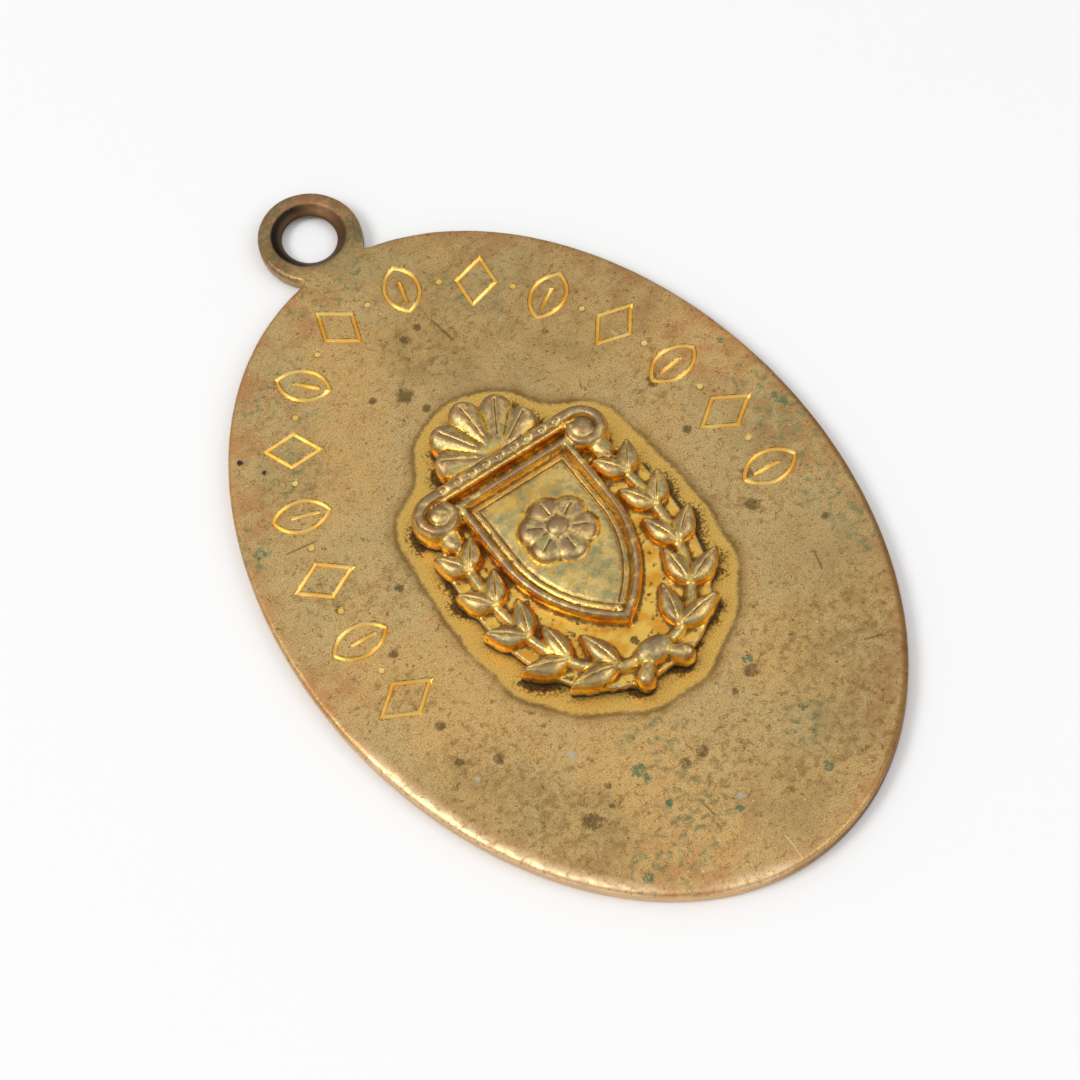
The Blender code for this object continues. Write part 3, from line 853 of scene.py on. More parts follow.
surface = points_of(relief.data)
sunk = CHASED_DEPTH * np.exp(-(distances(surface[:, :2], chased) / CHASED_WIDTH) ** 2)
surface[:, 2] -= np.where(surface[:, 2] > CHASED_ABOVE, sunk, 0.0)
relief.data.vertices.foreach_set("co", surface.ravel())
relief.data.update()
print("deepest chased place in mm:", round(float(sunk.max()), 3))


# %% [markdown]
# Cut the plate
#
# The plate and its eye are one piece of sheet: sawn out, filed, and rounded over at both rims. Its
# outline is the oval, the neck's short sides and the eye. It is resampled to even steps, because the
# face is filled with even triangles later, and tarnish needs points to be stored on.

# %% Plate outline
EYE_SHIFT = -0.15
RIM_ROUNDING = 0.4
RIM_STEPS = 6
RIM_SEED = 11
# Each is a pixel's column and row in the photo, and a reach in mm on the badge
WORN_PLACES = ((395, 782, 4.0), (450, 820, 4.5), (520, 862, 5.0), (600, 890, 4.5), (760, 888, 3.5))


def evenly(path, step):
    """A closed path resampled to even steps."""
    closed = np.vstack([path, path[:1]])
    length = run_of(closed)[-1]
    return at_runs(closed, np.linspace(0, length, int(length / step), endpoint=False))


def plate_outline():
    """The oval and the eye, which meet at the neck, with the corners there eased a little."""
    notch = math.acos(NECK_WIDTH / PLATE_WIDTH)
    turns = np.linspace(math.pi - notch, 2 * math.pi + notch, 1200)
    oval = arc(turns, PLATE_WIDTH / 2, PLATE_LENGTH / 2)
    neck = -math.acos(NECK_WIDTH / EYE_WIDTH)
    turns = np.linspace(neck, math.pi - neck, 300)
    rim = arc(turns, EYE_WIDTH / 2, EYE_LENGTH / 2, (EYE_SHIFT, eye_y))
    path = evenly(np.vstack([oval, rim]), SHEET_STEP)
    for _ in range(3):
        path = (np.roll(path, 1, axis=0) + 2 * path + np.roll(path, -1, axis=0)) / 4
    return path


def inwards(path):
    """Unit vectors that point into a counter-clockwise path."""
    return turned_left(unit(np.roll(path, -1, axis=0) - np.roll(path, 1, axis=0)))


def rounding_widths(path):
    """How far the rounding reaches in from the rim: further, and raggedly, where it is worn."""
    worn = np.zeros(len(path))
    for pixel_x, pixel_y, reach in WORN_PLACES:
        place = on_plate(pixel_x, pixel_y, PLATE_THICKNESS)
        worn = np.maximum(worn, np.exp(-((path - place) ** 2).sum(axis=1) / reach ** 2))
    ragged = np.random.default_rng(RIM_SEED).uniform(0.0, 1.0, len(path))
    for _ in range(2):
        ragged = (np.roll(ragged, 1) + 2 * ragged + np.roll(ragged, -1)) / 4
    run = np.arange(len(path)) * SHEET_STEP
    wavy = 0.7 + 0.15 * np.sin(run * 0.9) + 0.15 * np.sin(run * 2.6 + 1.0)
    return RIM_ROUNDING + worn * (0.5 * wavy + 0.9 * (ragged - 0.5)) + 0.03 * np.sin(run * 1.7)


plate_rim = plate_outline()
print("points round the plate:", len(plate_rim))


# %% [markdown]
# Plate surface
#
# The side is a stack of rings, one for each step of the rounding. The two faces are filled by a
# Delaunay triangulation, which joins any set of points with the plumpest triangles it can, and keeps to
# the rim and to the hole. The front gets an even field of inner points. The back, which lies on the
# table, needs none.

# %% Fill a face
def face_triangles(loops, inner):
    """Triangles between a rim and a hole, as numbers into the points, which are returned too."""
    points = np.vstack([*loops, inner])
    edges, start = [], 0
    for loop in loops:
        edges += [(start + i, start + (i + 1) % len(loop)) for i in range(len(loop))]
        start += len(loop)
    filled = geometry.delaunay_2d_cdt([Vector(p) for p in points], edges, [], 1, 1e-5)
    triangles, origins = filled[2], filled[3]
    number = [origin[0] for origin in origins]
    hole = loops[1]
    kept = []
    for triangle in triangles:
        corners = [number[i] for i in triangle]
        middle = points[corners].mean(axis=0) - hole.mean(axis=0)
        if np.hypot(*(middle / np.ptp(hole, axis=0) * 2)) > 1:
            kept.append(corners)
    return points, kept


def field_points(loops, step):
    """An even triangular field of points inside the rim and outside the hole."""
    low, high = loops[0].min(axis=0), loops[0].max(axis=0)
    across = np.arange(low[0], high[0], step)
    rows = np.arange(low[1], high[1], step * math.sqrt(3) / 2)
    field = []
    for k, y in enumerate(rows):
        field.append(np.column_stack([across + step / 2 * (k % 2), np.full(len(across), y)]))
    tree = search_tree(loops[0])
    normal = inwards(loops[0])
    hole = loops[1]
    kept = []
    for p in np.vstack(field):
        if np.hypot(*((p - hole.mean(axis=0)) / np.ptp(hole, axis=0) * 2)) < 1.08:
            continue
        _, i, distance = tree.find((*p, 0.0))
        if distance > step * 0.6 and (p - loops[0][i]) @ normal[i] > 0:
            kept.append(p)
    return np.array(kept)


# %% Rims and hole
HOLE_SEGMENTS = 72
# How far each ring has opened from the throat to the mouth, how much wider it is, and its depth
HOLE_RINGS = (
    (1.0, 0.12, 0.0), (1.0, 0.03, 0.04), (0.9, 0.0, 0.12),
    (0.45, 0.0, 0.36), (0.12, 0.0, 0.55), (0.0, 0.0, 0.68),
)


def hole_ring(opened, extra):
    """A ring of the hole: 0 is the throat and 1 the mouth."""
    width, length = (t + (m - t) * opened + 2 * extra for t, m in zip(HOLE_THROAT, HOLE_MOUTH))
    return oval_ring(width, length, (EYE_SHIFT, hole_y), HOLE_SEGMENTS)


def rounding(widths):
    """Rings from the rim inwards over its rounding, each with how far it lies from the face."""
    depth = RIM_ROUNDING + 0.25 * (widths - RIM_ROUNDING)
    normal = inwards(plate_rim)
    return [
        (plate_rim + normal * widths[:, None] * (1 - math.cos(angle)), depth * (1 - math.sin(angle)))
        for angle in np.linspace(0, math.pi / 2, RIM_STEPS + 1)
    ]


# %% Build the plate
def joined_forms(*forms):
    """One form out of several."""
    points, faces, start = [], [], 0
    for form_points, form_faces in forms:
        points.append(form_points)
        faces += [tuple(start + i for i in face) for face in form_faces]
        start += len(form_points)
    return np.vstack(points), faces


def face_form(loops, inner, z):
    """A flat face between a rim and a hole."""
    flat, triangles = face_triangles(loops, inner)
    return raised(flat, z), triangles


def build_plate():
    """Rings from the back's rim up the side to the front's rim, the hole, and the two faces."""
    upper = rounding(rounding_widths(plate_rim))
    lower = rounding(np.full(len(plate_rim), RIM_ROUNDING))
    side = lower[::-1] + [(ring, PLATE_THICKNESS - below) for ring, below in upper]
    hole = [(hole_ring(opened, extra), PLATE_THICKNESS - below) for opened, extra, below in HOLE_RINGS]
    hole += [(ring, PLATE_THICKNESS - z) for ring, z in hole[::-1]]
    front = [side[-1][0], hole[0][0]]
    back = [side[0][0], hole[-1][0]]
    return joined_forms(
        side_through(side),
        side_through(hole),
        face_form(front, field_points(front, SHEET_STEP), PLATE_THICKNESS),
        face_form(back, np.empty((0, 2)), 0.0),
    )


rolled = bpy.data.materials.new("old_rolled_brass")
plate = object_from("plate", *build_plate(), rolled)
sewn = bmesh.new()
sewn.from_mesh(plate.data)
bmesh.ops.remove_doubles(sewn, verts=sewn.verts, dist=0.005)
bmesh.ops.recalc_face_normals(sewn, faces=sewn.faces)
open_edges = sum(not edge.is_manifold for edge in sewn.edges)
sewn.to_mesh(plate.data)
sewn.free()
print("plate:", len(plate.data.polygons), "faces,", open_edges, "open edges")


# %% [markdown]
# Engraving
#
# An engraver pushes a graver with a V-shaped point through the metal, so each line is a V groove, and
# its fresh walls stay brighter than the old face. A lozenge and a leaf take turns along the rim with a
# drilled point between them. The cutters are made once, and a node group sets them out along a path.
# Hand work is never quite even, so the group also turns and sizes each mark a little at random, with a
# fixed seed. Then one Boolean cuts them all, and hands the cutters' material on to the groove walls.

# %% Cutters
MARK_HEIGHT, LOZENGE_WIDTH, LEAF_MARK_WIDTH = 4.7, 3.3, 2.9
VEIN_START, VEIN_END = -MARK_HEIGHT / 2 + 0.95, -MARK_HEIGHT / 2 + 3.1
GROOVE_WIDTH, GROOVE_DEPTH, CUT_ABOVE = 0.43, 0.2, 0.3
POINT_DIAMETER, POINT_SEGMENTS = 0.7, 20

bright_cut = bpy.data.materials.new("bright_cut_brass")
cut_top, cut_bottom = PLATE_THICKNESS + CUT_ABOVE, PLATE_THICKNESS - GROOVE_DEPTH
groove_reach = GROOVE_WIDTH / 2 * (1 + CUT_ABOVE / GROOVE_DEPTH)


def groove_round(path):
    """A V groove that follows a closed path."""
    count = len(path)
    outer, inner = inset(path, -groove_reach), inset(path, groove_reach)
    points = np.vstack([raised(outer, cut_top), raised(inner, cut_top), raised(path, cut_bottom)])
    faces = []
    for first, second in ((0, 1), (1, 2), (2, 0)):
        faces += quads_between(first * count, second * count, count)
    return points, faces


def groove_straight(start, end):
    """A V groove with pointed ends, along Y."""
    reach = groove_reach
    right = [(0, start - reach), (reach, start), (reach, end)]
    left = [(0, end + reach), (-reach, end), (-reach, start)]
    points = [(x, y, cut_top) for x, y in right + left] + [(0, start, cut_bottom), (0, end, cut_bottom)]
    faces = [(0, 1, 2, 3, 4, 5), (0, 6, 1), (1, 6, 7, 2), (2, 7, 3), (3, 7, 4), (4, 7, 6, 5), (5, 6, 0)]
    return np.array(points, dtype=float), faces


def lozenge_path():
    half, width = MARK_HEIGHT / 2, LOZENGE_WIDTH / 2
    return np.array([(width, 0.0), (0.0, half), (-width, 0.0), (0.0, -half)])


def leaf_mark_path():
    half, width = MARK_HEIGHT / 2, LEAF_MARK_WIDTH / 2
    radius = (half ** 2 + width ** 2) / (2 * width)
    tip_turn = math.asin(half / radius)
    turns = np.linspace(-tip_turn, tip_turn, 13)[:-1]
    side = arc(turns, radius, radius, (width - radius, 0.0))
    return np.vstack([side, -side])


def cone():
    """A drill's tip, which stands above the face as the grooves' cutters do."""
    count = POINT_SEGMENTS
    width = POINT_DIAMETER * (1 + CUT_ABOVE / GROOVE_DEPTH)
    points = np.vstack([raised(oval_ring(width, width, count=count), cut_top), [[0.0, 0.0, cut_bottom]]])
    return points, [tuple(range(count))] + [((i + 1) % count, i, count) for i in range(count)]


def solid(name, form):
    """A cutter whose faces all point outwards."""
    item = object_from(name, *form)
    shape = bmesh.new()
    shape.from_mesh(item.data)
    bmesh.ops.recalc_face_normals(shape, faces=shape.faces)
    shape.to_mesh(item.data)
    shape.free()
    return item


lozenge = solid("lozenge", groove_round(lozenge_path()))
veined_leaf = joined_forms(groove_round(leaf_mark_path()), groove_straight(VEIN_START, VEIN_END))
leaf_mark = solid("leaf_mark", veined_leaf)
point_mark = solid("point_mark", cone())


# %% Border group
# Which mark comes where: the label of its cutter, how often it comes, and its first place
TURNS_TAKEN = (("Lozenge", 4.0, 0.0), ("Leaf", 4.0, 2.0), ("Point", 2.0, 1.0))


def border_group():
    tree, given, result = new_group("engraved_border", {
        "Path": "NodeSocketGeometry",
        "Lozenge": "NodeSocketObject",
        "Leaf": "NodeSocketObject",
        "Point": "NodeSocketObject",
        "Count": "NodeSocketInt",
        "Lean": "NodeSocketFloat",
        "Uneven": "NodeSocketFloat",
        "Seed": "NodeSocketInt",
        "Material": "NodeSocketMaterial",
    })
    places, ahead = points_along(tree, given["Path"], given["Count"])
    back = add_node(tree, "ShaderNodeMath", {0: given["Lean"], 1: -1.0}, operation="MULTIPLY")
    lean = add_node(tree, "FunctionNodeRandomValue", {2: back, 3: given["Lean"], "Seed": given["Seed"]})
    turned = leaned(tree, ahead, lean)
    least = add_node(tree, "ShaderNodeMath", {0: 1.0, 1: given["Uneven"]}, operation="SUBTRACT")
    most = add_node(tree, "ShaderNodeMath", {0: 1.0, 1: given["Uneven"]}, operation="ADD")
    size = add_node(tree, "FunctionNodeRandomValue", {2: least, 3: most, "Seed": given["Seed"]})
    scale = add_node(tree, "ShaderNodeCombineXYZ", {"X": size, "Y": size, "Z": 1.0})
    index = add_node(tree, "GeometryNodeInputIndex")
    every = add_node(tree, "GeometryNodeJoinGeometry")
    for label, period, place in TURNS_TAKEN:
        rest = add_node(tree, "ShaderNodeMath", {0: index, 1: period}, operation="MODULO")
        chosen = add_node(tree, "FunctionNodeCompare", {
            0: rest,
            1: place,
            "Epsilon": 0.1,
        }, operation="EQUAL")
        mark = add_node(tree, "GeometryNodeObjectInfo", {"Object": given[label]})
        copies = add_node(tree, "GeometryNodeInstanceOnPoints", {
            "Points": places,
            "Selection": chosen,
            "Instance": mark.outputs["Geometry"],
            "Rotation": turned,
            "Scale": scale,
        })
        tree.links.new(copies.outputs[0], every.inputs[0])
    finish_group(tree, every, given["Material"], result)
    return tree


# %% Set out the border
BORDER_INSET, BORDER_END_DROP, MARKS = 3.2, 5.0, 27
BORDER_SEED = 7


def border_path():
    """The middle line of the border, from its left end over the top to its right end."""
    shrink = BORDER_INSET + MARK_HEIGHT / 2
    below = math.asin(BORDER_END_DROP / (PLATE_LENGTH / 2 - shrink))
    turns = np.linspace(math.pi + below, -below, 400)
    return arc(turns, PLATE_WIDTH / 2 - shrink, PLATE_LENGTH / 2 - shrink)


engraving = run_group(border_group(), path_object("border_path", border_path()), {
    "Lozenge": lozenge,
    "Leaf": leaf_mark,
    "Point": point_mark,
    "Count": MARKS,
    "Lean": math.radians(2.5),
    "Uneven": 0.03,
    "Seed": BORDER_SEED,
    "Material": bright_cut,
}, "engraving")
for cutter in (lozenge, leaf_mark, point_mark):
    bpy.data.objects.remove(cutter)
print("engraving cutters:", len(engraving.data.polygons), "faces")

# %% Cut the grooves
cut = plate.modifiers.new("engrave", "BOOLEAN")
cut.operation = "DIFFERENCE"
cut.solver = "EXACT"
cut.material_mode = "TRANSFER"
cut.object = engraving
plate = baked(plate, "plate")
bpy.data.objects.remove(engraving)
print("engraved plate:", len(plate.data.polygons), "faces of", [m.name for m in plate.data.materials])


# %% [markdown]
# What lies where
#
# Tarnish isn't even. It keeps off the place where the solder ran, it darkens the foot of the ornament,
# it turns coppery along the rim, and spots of it fall anywhere. The materials need to know these places,
# so each point of the plate stores how far it is from the ornament and from the rim, and how close it is
# to the spots that were read off the photo. The shader then frays their edges with noise.

# %% Spots read off the photo
# Each is a pixel's column and row, and a radius in mm on the badge
STAINS = (
    (593, 821, 0.8), (499, 759, 0.5), (460, 762, 0.4), (440, 726, 0.45), (702, 751, 0.5), (685, 763, 0.55),
    (404, 396, 0.85), (427, 408, 0.4), (417, 327, 0.4), (405, 340, 0.5), (372, 401, 0.4), (654, 380, 0.65),
    (746, 472, 0.55), (753, 504, 0.6), (687, 429, 0.4), (399, 588, 0.4), (338, 610, 0.35), (393, 654, 0.4),
    (751, 670, 0.6), (826, 515, 0.35), (735, 692, 0.3), (545, 331, 0.3), (608, 786, 0.3), (612, 806, 0.25),
)
BROWN_AREAS = (
    (715, 765, 4.5), (690, 800, 3.0), (480, 755, 4.0), (545, 805, 4.0), (600, 835, 3.5), (857, 602, 3.5),
    (795, 655, 5.0), (425, 345, 4.5), (545, 300, 3.0), (655, 375, 3.5), (745, 490, 3.5), (330, 600, 3.0),
    (395, 585, 2.5), (300, 495, 2.5), (820, 760, 3.5), (400, 700, 3.0), (870, 700, 3.0), (886, 640, 2.6),
    (878, 730, 2.6),
)
DARK_AREAS = (
    (500, 345, 6.0), (435, 345, 4.0), (470, 805, 4.5), (560, 820, 3.5), (600, 275, 5.0), (862, 640, 4.0),
    (850, 560, 6.0), (345, 250, 3.5), (440, 265, 6.0), (850, 700, 5.0), (790, 800, 4.0),
    (600, 310, 5.0), (780, 430, 4.0), (560, 270, 4.0), (605, 845, 3.0), (290, 480, 3.0),
)
COPPER_AREAS = (
    (262, 400, 4.0), (300, 300, 3.0), (255, 520, 3.0), (628, 290, 3.5), (700, 345, 4.0), (480, 246, 3.0),
    (588, 262, 3.5), (700, 880, 5.0), (560, 868, 4.0), (893, 560, 3.5), (800, 440, 3.0),
    (330, 700, 3.0), (895, 700, 4.0), (300, 196, 1.6), (330, 200, 1.6), (262, 258, 1.2), (320, 285, 1.5),
    (395, 295, 1.8), (288, 325, 2.2), (247, 440, 2.0), (662, 312, 2.2), (742, 374, 2.6), (772, 404, 2.4),
)
GREEN_SPOTS = (
    (638, 770, 0.6), (648, 778, 0.4), (829, 765, 0.5), (803, 707, 0.45), (669, 803, 0.3), (649, 878, 0.5),
    (402, 421, 0.3), (720, 340, 0.4), (775, 396, 0.5), (784, 402, 0.4), (260, 554, 0.6), (747, 660, 0.5),
    (397, 588, 0.25), (740, 808, 0.35), (310, 590, 0.25),
)
GREEN_AREAS = (
    (775, 398, 2.5), (850, 490, 4.0), (650, 735, 2.5), (810, 715, 2.5), (335, 285, 2.0), (258, 552, 2.5),
    (290, 470, 3.0), (650, 872, 2.0), (280, 240, 3.5), (700, 800, 2.5), (470, 290, 3.5), (345, 245, 3.0),
    (356, 238, 1.6), (276, 210, 1.4), (340, 268, 1.4), (305, 300, 2.5),
    (285, 375, 2.2), (304, 420, 1.8), (258, 405, 1.6), (752, 372, 2.0), (800, 425, 2.6), (838, 468, 2.6),
    (868, 525, 2.2),
    (690, 855, 2.4),
)
PALE_SPOTS = ((572, 755, 0.35), (478, 779, 0.3), (783, 638, 0.2), (740, 796, 0.3), (500, 320, 0.25))
PITS = ((240, 463, 0.28), (264, 473, 0.22), (323, 371, 0.16))
# Where the funnel's dirt and painted shade are darkest
THROAT_DIRT_AND_SHADE = ((272, 240, 2.4), (280, 220, 2.0), (285, 262, 1.8))
GRIME_AREAS = (
    (266, 225, 2.4), (262, 250, 2.0), (290, 200, 2.0), (330, 205, 1.8), (352, 232, 1.6), (278, 280, 1.5),
)

# Scratches: from one pixel to another, with a width in mm
BROWN_SCRATCHES = (
    (702, 802, 716, 816, 0.16), (428, 317, 455, 342, 0.2), (283, 556, 319, 540, 0.14),
    (813, 548, 823, 571, 0.16), (862, 640, 884, 634, 0.16),
)
PALE_SCRATCHES = ((784, 834, 797, 849, 0.1), (795, 848, 803, 859, 0.1), (610, 330, 622, 338, 0.1))

# %% Names of the spots
SPOTS = {
    "worn_rim": WORN_PLACES,
    "stain": STAINS,
    "brown": BROWN_AREAS,
    "dark": DARK_AREAS,
    "copper": COPPER_AREAS,
    "green": GREEN_SPOTS,
    "green_area": GREEN_AREAS,
    "pale": PALE_SPOTS,
    "pit": PITS,
    "grime": GRIME_AREAS,
    "throat_dirt": THROAT_DIRT_AND_SHADE,
}


# %% Store distances and spots on the plate
HALO_ROUNDS = 60


def closeness(points, spots):
    """1 in the middle of a spot, falling softly to 0."""
    total = np.zeros(len(points))
    for pixel_x, pixel_y, radius in spots:
        place = on_plate(pixel_x, pixel_y, PLATE_THICKNESS)
        total += np.exp(-((points - place) ** 2).sum(axis=1) / radius ** 2)
    return np.minimum(total, 1.0)


def spread(mesh, values, rounds):
    """Values averaged with their neighbours' along the mesh's edges, again and again."""
    edges = np.empty(len(mesh.edges) * 2, dtype=np.int64)
    mesh.edges.foreach_get("vertices", edges)
    first, second = edges.reshape(-1, 2).T
    count = len(mesh.vertices)
    neighbours = np.maximum(np.bincount(first, minlength=count) + np.bincount(second, minlength=count), 1)
    values = np.array(values, dtype=float)
    for _ in range(rounds):
        total = np.bincount(first, values[second], count) + np.bincount(second, values[first], count)
        values = (values + total / neighbours) / 2
    return values


plate_points = points_of(plate.data)
relief_points = points_of(relief.data)
foot = relief_points[np.abs(relief_points[:, 2] - PLATE_THICKNESS - 0.1) < 0.12][:, :2]
level_points = plate_points[:, :2]
foot_distance = distances(level_points, foot)
hole_reach = (level_points - (EYE_SHIFT, hole_y)) / (np.array(HOLE_MOUTH) / 2)
fields = {
    "from_relief": foot_distance,
    "halo": spread(plate.data, foot_distance, HALO_ROUNDS),
    "from_rim": distances(level_points, plate_rim),
    "throat": np.clip((1.05 - np.hypot(*hole_reach.T)) / 0.1, 0, 1),
}
for name, spots in SPOTS.items():
    fields[name] = closeness(level_points, spots)
for name, values in fields.items():
    store(plate.data, name, values)
print("points along the ornament's foot:", len(foot))

# %% [markdown]
# What stands out on the ornament
#
# Gilding is rubbed off where a thumb reaches and stays where it can't. To find both, smooth the surface
# a good deal and ask how far each point lies outside the smoothed one: ridges lie outside it and
# hollows inside.

# %% Store how prominent each point of the ornament is
BLUR_ROUNDS = 14


def prominence(mesh):
    """How far each point lies outside the blurred surface, in mm."""
    points = points_of(mesh)
    blurred = np.column_stack([spread(mesh, column, BLUR_ROUNDS) for column in points.T])
    normals = np.empty(len(points) * 3)
    mesh.vertices.foreach_get("normal", normals)
    return ((points - blurred) * normals.reshape(-1, 3)).sum(axis=1)


stands_out = prominence(relief.data)
store(relief.data, "prominence", stands_out)
print("prominence in mm, from and to:", np.round(np.percentile(stands_out, [1, 99]), 3))


# %% [markdown]
# Materials
#
# All of it is brass, but no two places have aged alike. The rolled plate has a fine grain from the
# rolls, under an olive-brown tarnish that takes the shine off. The ornament was gilt, so its hollows
# are a deep shining yellow and its high places a pale greenish brass. The engraver's cuts went through
# the tarnish and still flash. Verdigris, the green of copper salts, isn't metal any more, so it is
# given no metallic look and no shine.
#
# Each material is painted the way an object ages: coat upon coat, each one let through by masks. A mask
# is a noise or a stored distance, with the values between which it opens.

# %% Start a metal
def metal(material, noises, stored):
    """An empty metal: its tree, shader and coordinates in mm, its noises and its stored numbers.

    A noise is given as the width of its clouds in mm, its detail, its harshness and its twist.
    """
    material.use_nodes = True
    tree = material.node_tree
    shader = tree.nodes["Principled BSDF"]
    shader.inputs["Metallic"].default_value = 1.0
    place = add_node(tree, "ShaderNodeTexCoord").outputs["Object"]
    place = add_node(tree, "ShaderNodeVectorMath", {0: place, "Scale": 1 / MM}, operation="SCALE")
    clouds = {}
    for name, (width, detail, harshness, twist) in noises.items():
        clouds[name] = add_node(tree, "ShaderNodeTexNoise", {
            "Vector": place,
            "Scale": 1 / width,
            "Detail": detail,
            "Roughness": harshness,
            "Distortion": twist,
        })
    field = {}
    for name in stored:
        field[name] = add_node(tree, "ShaderNodeAttribute", attribute_name=name).outputs["Fac"]
    return tree, shader, place, clouds, field


def cover(tree, share, *masks):
    """How much of a coat shows: its share, cut down by each mask.

    A mask is a value, where it starts to open and where it is open. A fourth number, where there is one,
    says how far it is open at least.
    """
    for value, start, end, *least in masks:
        step = add_node(tree, "ShaderNodeMapRange", {
            "Value": value,
            "From Min": start,
            "From Max": end,
            "To Min": least[0] if least else 0.0,
        }, interpolation_type="SMOOTHSTEP")
        share = add_node(tree, "ShaderNodeMath", {0: share, 1: step}, operation="MULTIPLY")
    return share


def coat(tree, under, hex_colour, share, *masks):
    """Lays a colour over another, as far as its share and its masks let it show."""
    shown = cover(tree, share, *masks)
    return add_node(tree, "ShaderNodeMix", {
        "Factor": shown,
        6: under,
        7: linear(hex_colour),
    }, data_type="RGBA")


def coats(tree, under, *layers):
    """Lays coats one over another, each given by its colour, its share and its masks."""
    for layer in layers:
        under = coat(tree, under, *layer)
    return under


def weighed_sum(tree, total, *values):
    """A number plus some values, each given with its weight."""
    for value, weight in values:
        total = add_node(tree, "ShaderNodeMath", {0: value, 1: weight, 2: total}, operation="MULTIPLY_ADD")
    return total


def finish_metal(tree, shader, colour, roughness, height):
    """Links the colour, the roughness and a surface height in mm to the shader."""
    tree.links.new(colour.outputs[2], shader.inputs["Base Color"])
    tree.links.new(roughness.outputs[0], shader.inputs["Roughness"])
    bump = add_node(tree, "ShaderNodeBump", {"Height": height, "Distance": MM})
    tree.links.new(bump.outputs[0], shader.inputs["Normal"])


# %% [markdown]
# Old rolled brass: the tarnish
#
# The sheet was rolled, so it is flat but not smooth: under a lens it is all short dark and light grains.
# On the badge they are about a fifth of a millimetre long. The tarnish over them is khaki in some clouds
# and yellower in others, with finer mottling inside.

# %% Tarnish and grain
PLATE_NOISES = {
    "cloud": (11.0, 4.0, 0.5, 0.0),
    "patch": (3.6, 3.0, 0.5, 0.0),
    "mottle": (2.0, 9.0, 0.68, 0.0),
    "hairs": (1.05, 2.0, 0.5, 1.5),
    "blotch": (0.77, 8.0, 0.66, 0.4),
    "warmth": (0.53, 6.0, 0.7, 0.0),
    "fray": (0.42, 6.0, 0.7, 0.0),
    "specks": (0.43, 5.0, 0.68, 1.2),
    "dust": (0.22, 2.0, 0.5, 0.0),
    "grain": (0.125, 5.0, 0.78, 0.0),
}
tree, shader, place, cloud, field = metal(rolled, PLATE_NOISES, fields)
colour = coats(
    tree, linear("#DCB472"),
    # Khaki clouds over the yellow
    ("#CFB37A", 1.0, (cloud["cloud"], 0.4, 0.6)),
    # Darker and lighter mottling
    ("#B79563", 0.55, (cloud["mottle"], 0.47, 0.68)),
    ("#DFC085", 0.5, (cloud["mottle"], 0.5, 0.3)),
    # Warmer and greener patches half a millimetre wide
    ("#DDA05A", 0.5, (cloud["warmth"], 0.48, 0.66)),
    ("#C2B27C", 0.35, (cloud["warmth"], 0.5, 0.34)),
    # The grain of the rolls: dark grains, then light ones
    ("#8A6B3C", 0.72, (cloud["grain"], 0.5, 0.65)),
    ("#F8DA98", 0.72, (cloud["grain"], 0.5, 0.35)),
)

# %% [markdown]
# Copper, dark clouds and stains
#
# Where brass loses its zinc the copper shows, first along the rim. Brown stains are drops that dried:
# dark in the middle, with a paler hem, and never round. A noise multiplied into a round spot frays it.

# %% Copper, dark clouds and stains
colour = coats(
    tree, colour,
    ("#C68A58", 0.5, (field["from_rim"], 2.0, 0.3), (cloud["mottle"], 0.35, 0.6, 0.3)),
    ("#C88C58", 0.5, (field["copper"], 0.0, 0.9), (cloud["mottle"], 0.42, 0.58)),
    ("#A38A5C", 0.42, (field["dark"], 0.0, 0.9), (cloud["mottle"], 0.35, 0.6, 0.5)),
)
area = add_node(tree, "ShaderNodeMath", {
    0: field["brown"],
    1: 0.1,
    2: cloud["blotch"],
}, operation="MULTIPLY_ADD")
colour = coats(
    tree, colour,
    ("#8A6536", 0.6, (area, 0.53, 0.76)),
    ("#4B3E26", 0.6, (field["grime"], 0.0, 0.9), (cloud["blotch"], 0.36, 0.6)),
)
spot = cover(
    tree, 1.8, (field["stain"], 0.0, 1.0),
    (cloud["fray"], 0.34, 0.62, 0.35), (cloud["blotch"], 0.36, 0.58, 0.45),
)
colour = coats(
    tree, colour,
    ("#7D6440", 0.5, (spot, 0.2, 0.42)),
    ("#5C4729", 0.55, (spot, 0.4, 0.8)),
)

# %% [markdown]
# Fine marks
#
# Hair-fine marks run where a noise crosses its middle value, which draws thin wandering lines. A scratch
# is a straight mark between two points: the distance across it fades its sides and the distance along
# it fades its ends.

# %% Hair marks, dust and scratches
def scratched(scratches):
    """How much a place is scratched: 1 on a scratch, 0 beside it."""
    total = 0.0
    for *pixels, width in scratches:
        start, end = (Vector((*on_plate(*pixels[i:i + 2], PLATE_THICKNESS), 0.0)) for i in (0, 2))
        ahead = (end - start).normalized()
        middle = (start + end) / 2
        offset = add_node(tree, "ShaderNodeVectorMath", {0: place, 1: middle}, operation="SUBTRACT")
        masks = []
        for axis, open_to, shut_at in (
            (ahead, (end - start).length * 0.35, (end - start).length * 0.5),
            (Vector((-ahead.y, ahead.x, 0.0)), 0.0, width),
        ):
            along = add_node(tree, "ShaderNodeVectorMath", {0: offset, 1: axis}, operation="DOT_PRODUCT")
            along = add_node(tree, "ShaderNodeMath", {0: along}, operation="ABSOLUTE")
            masks.append((along, shut_at, open_to))
        scratch = cover(tree, 1.0, *masks)
        total = add_node(tree, "ShaderNodeMath", {0: total, 1: scratch}, operation="MAXIMUM")
    return total


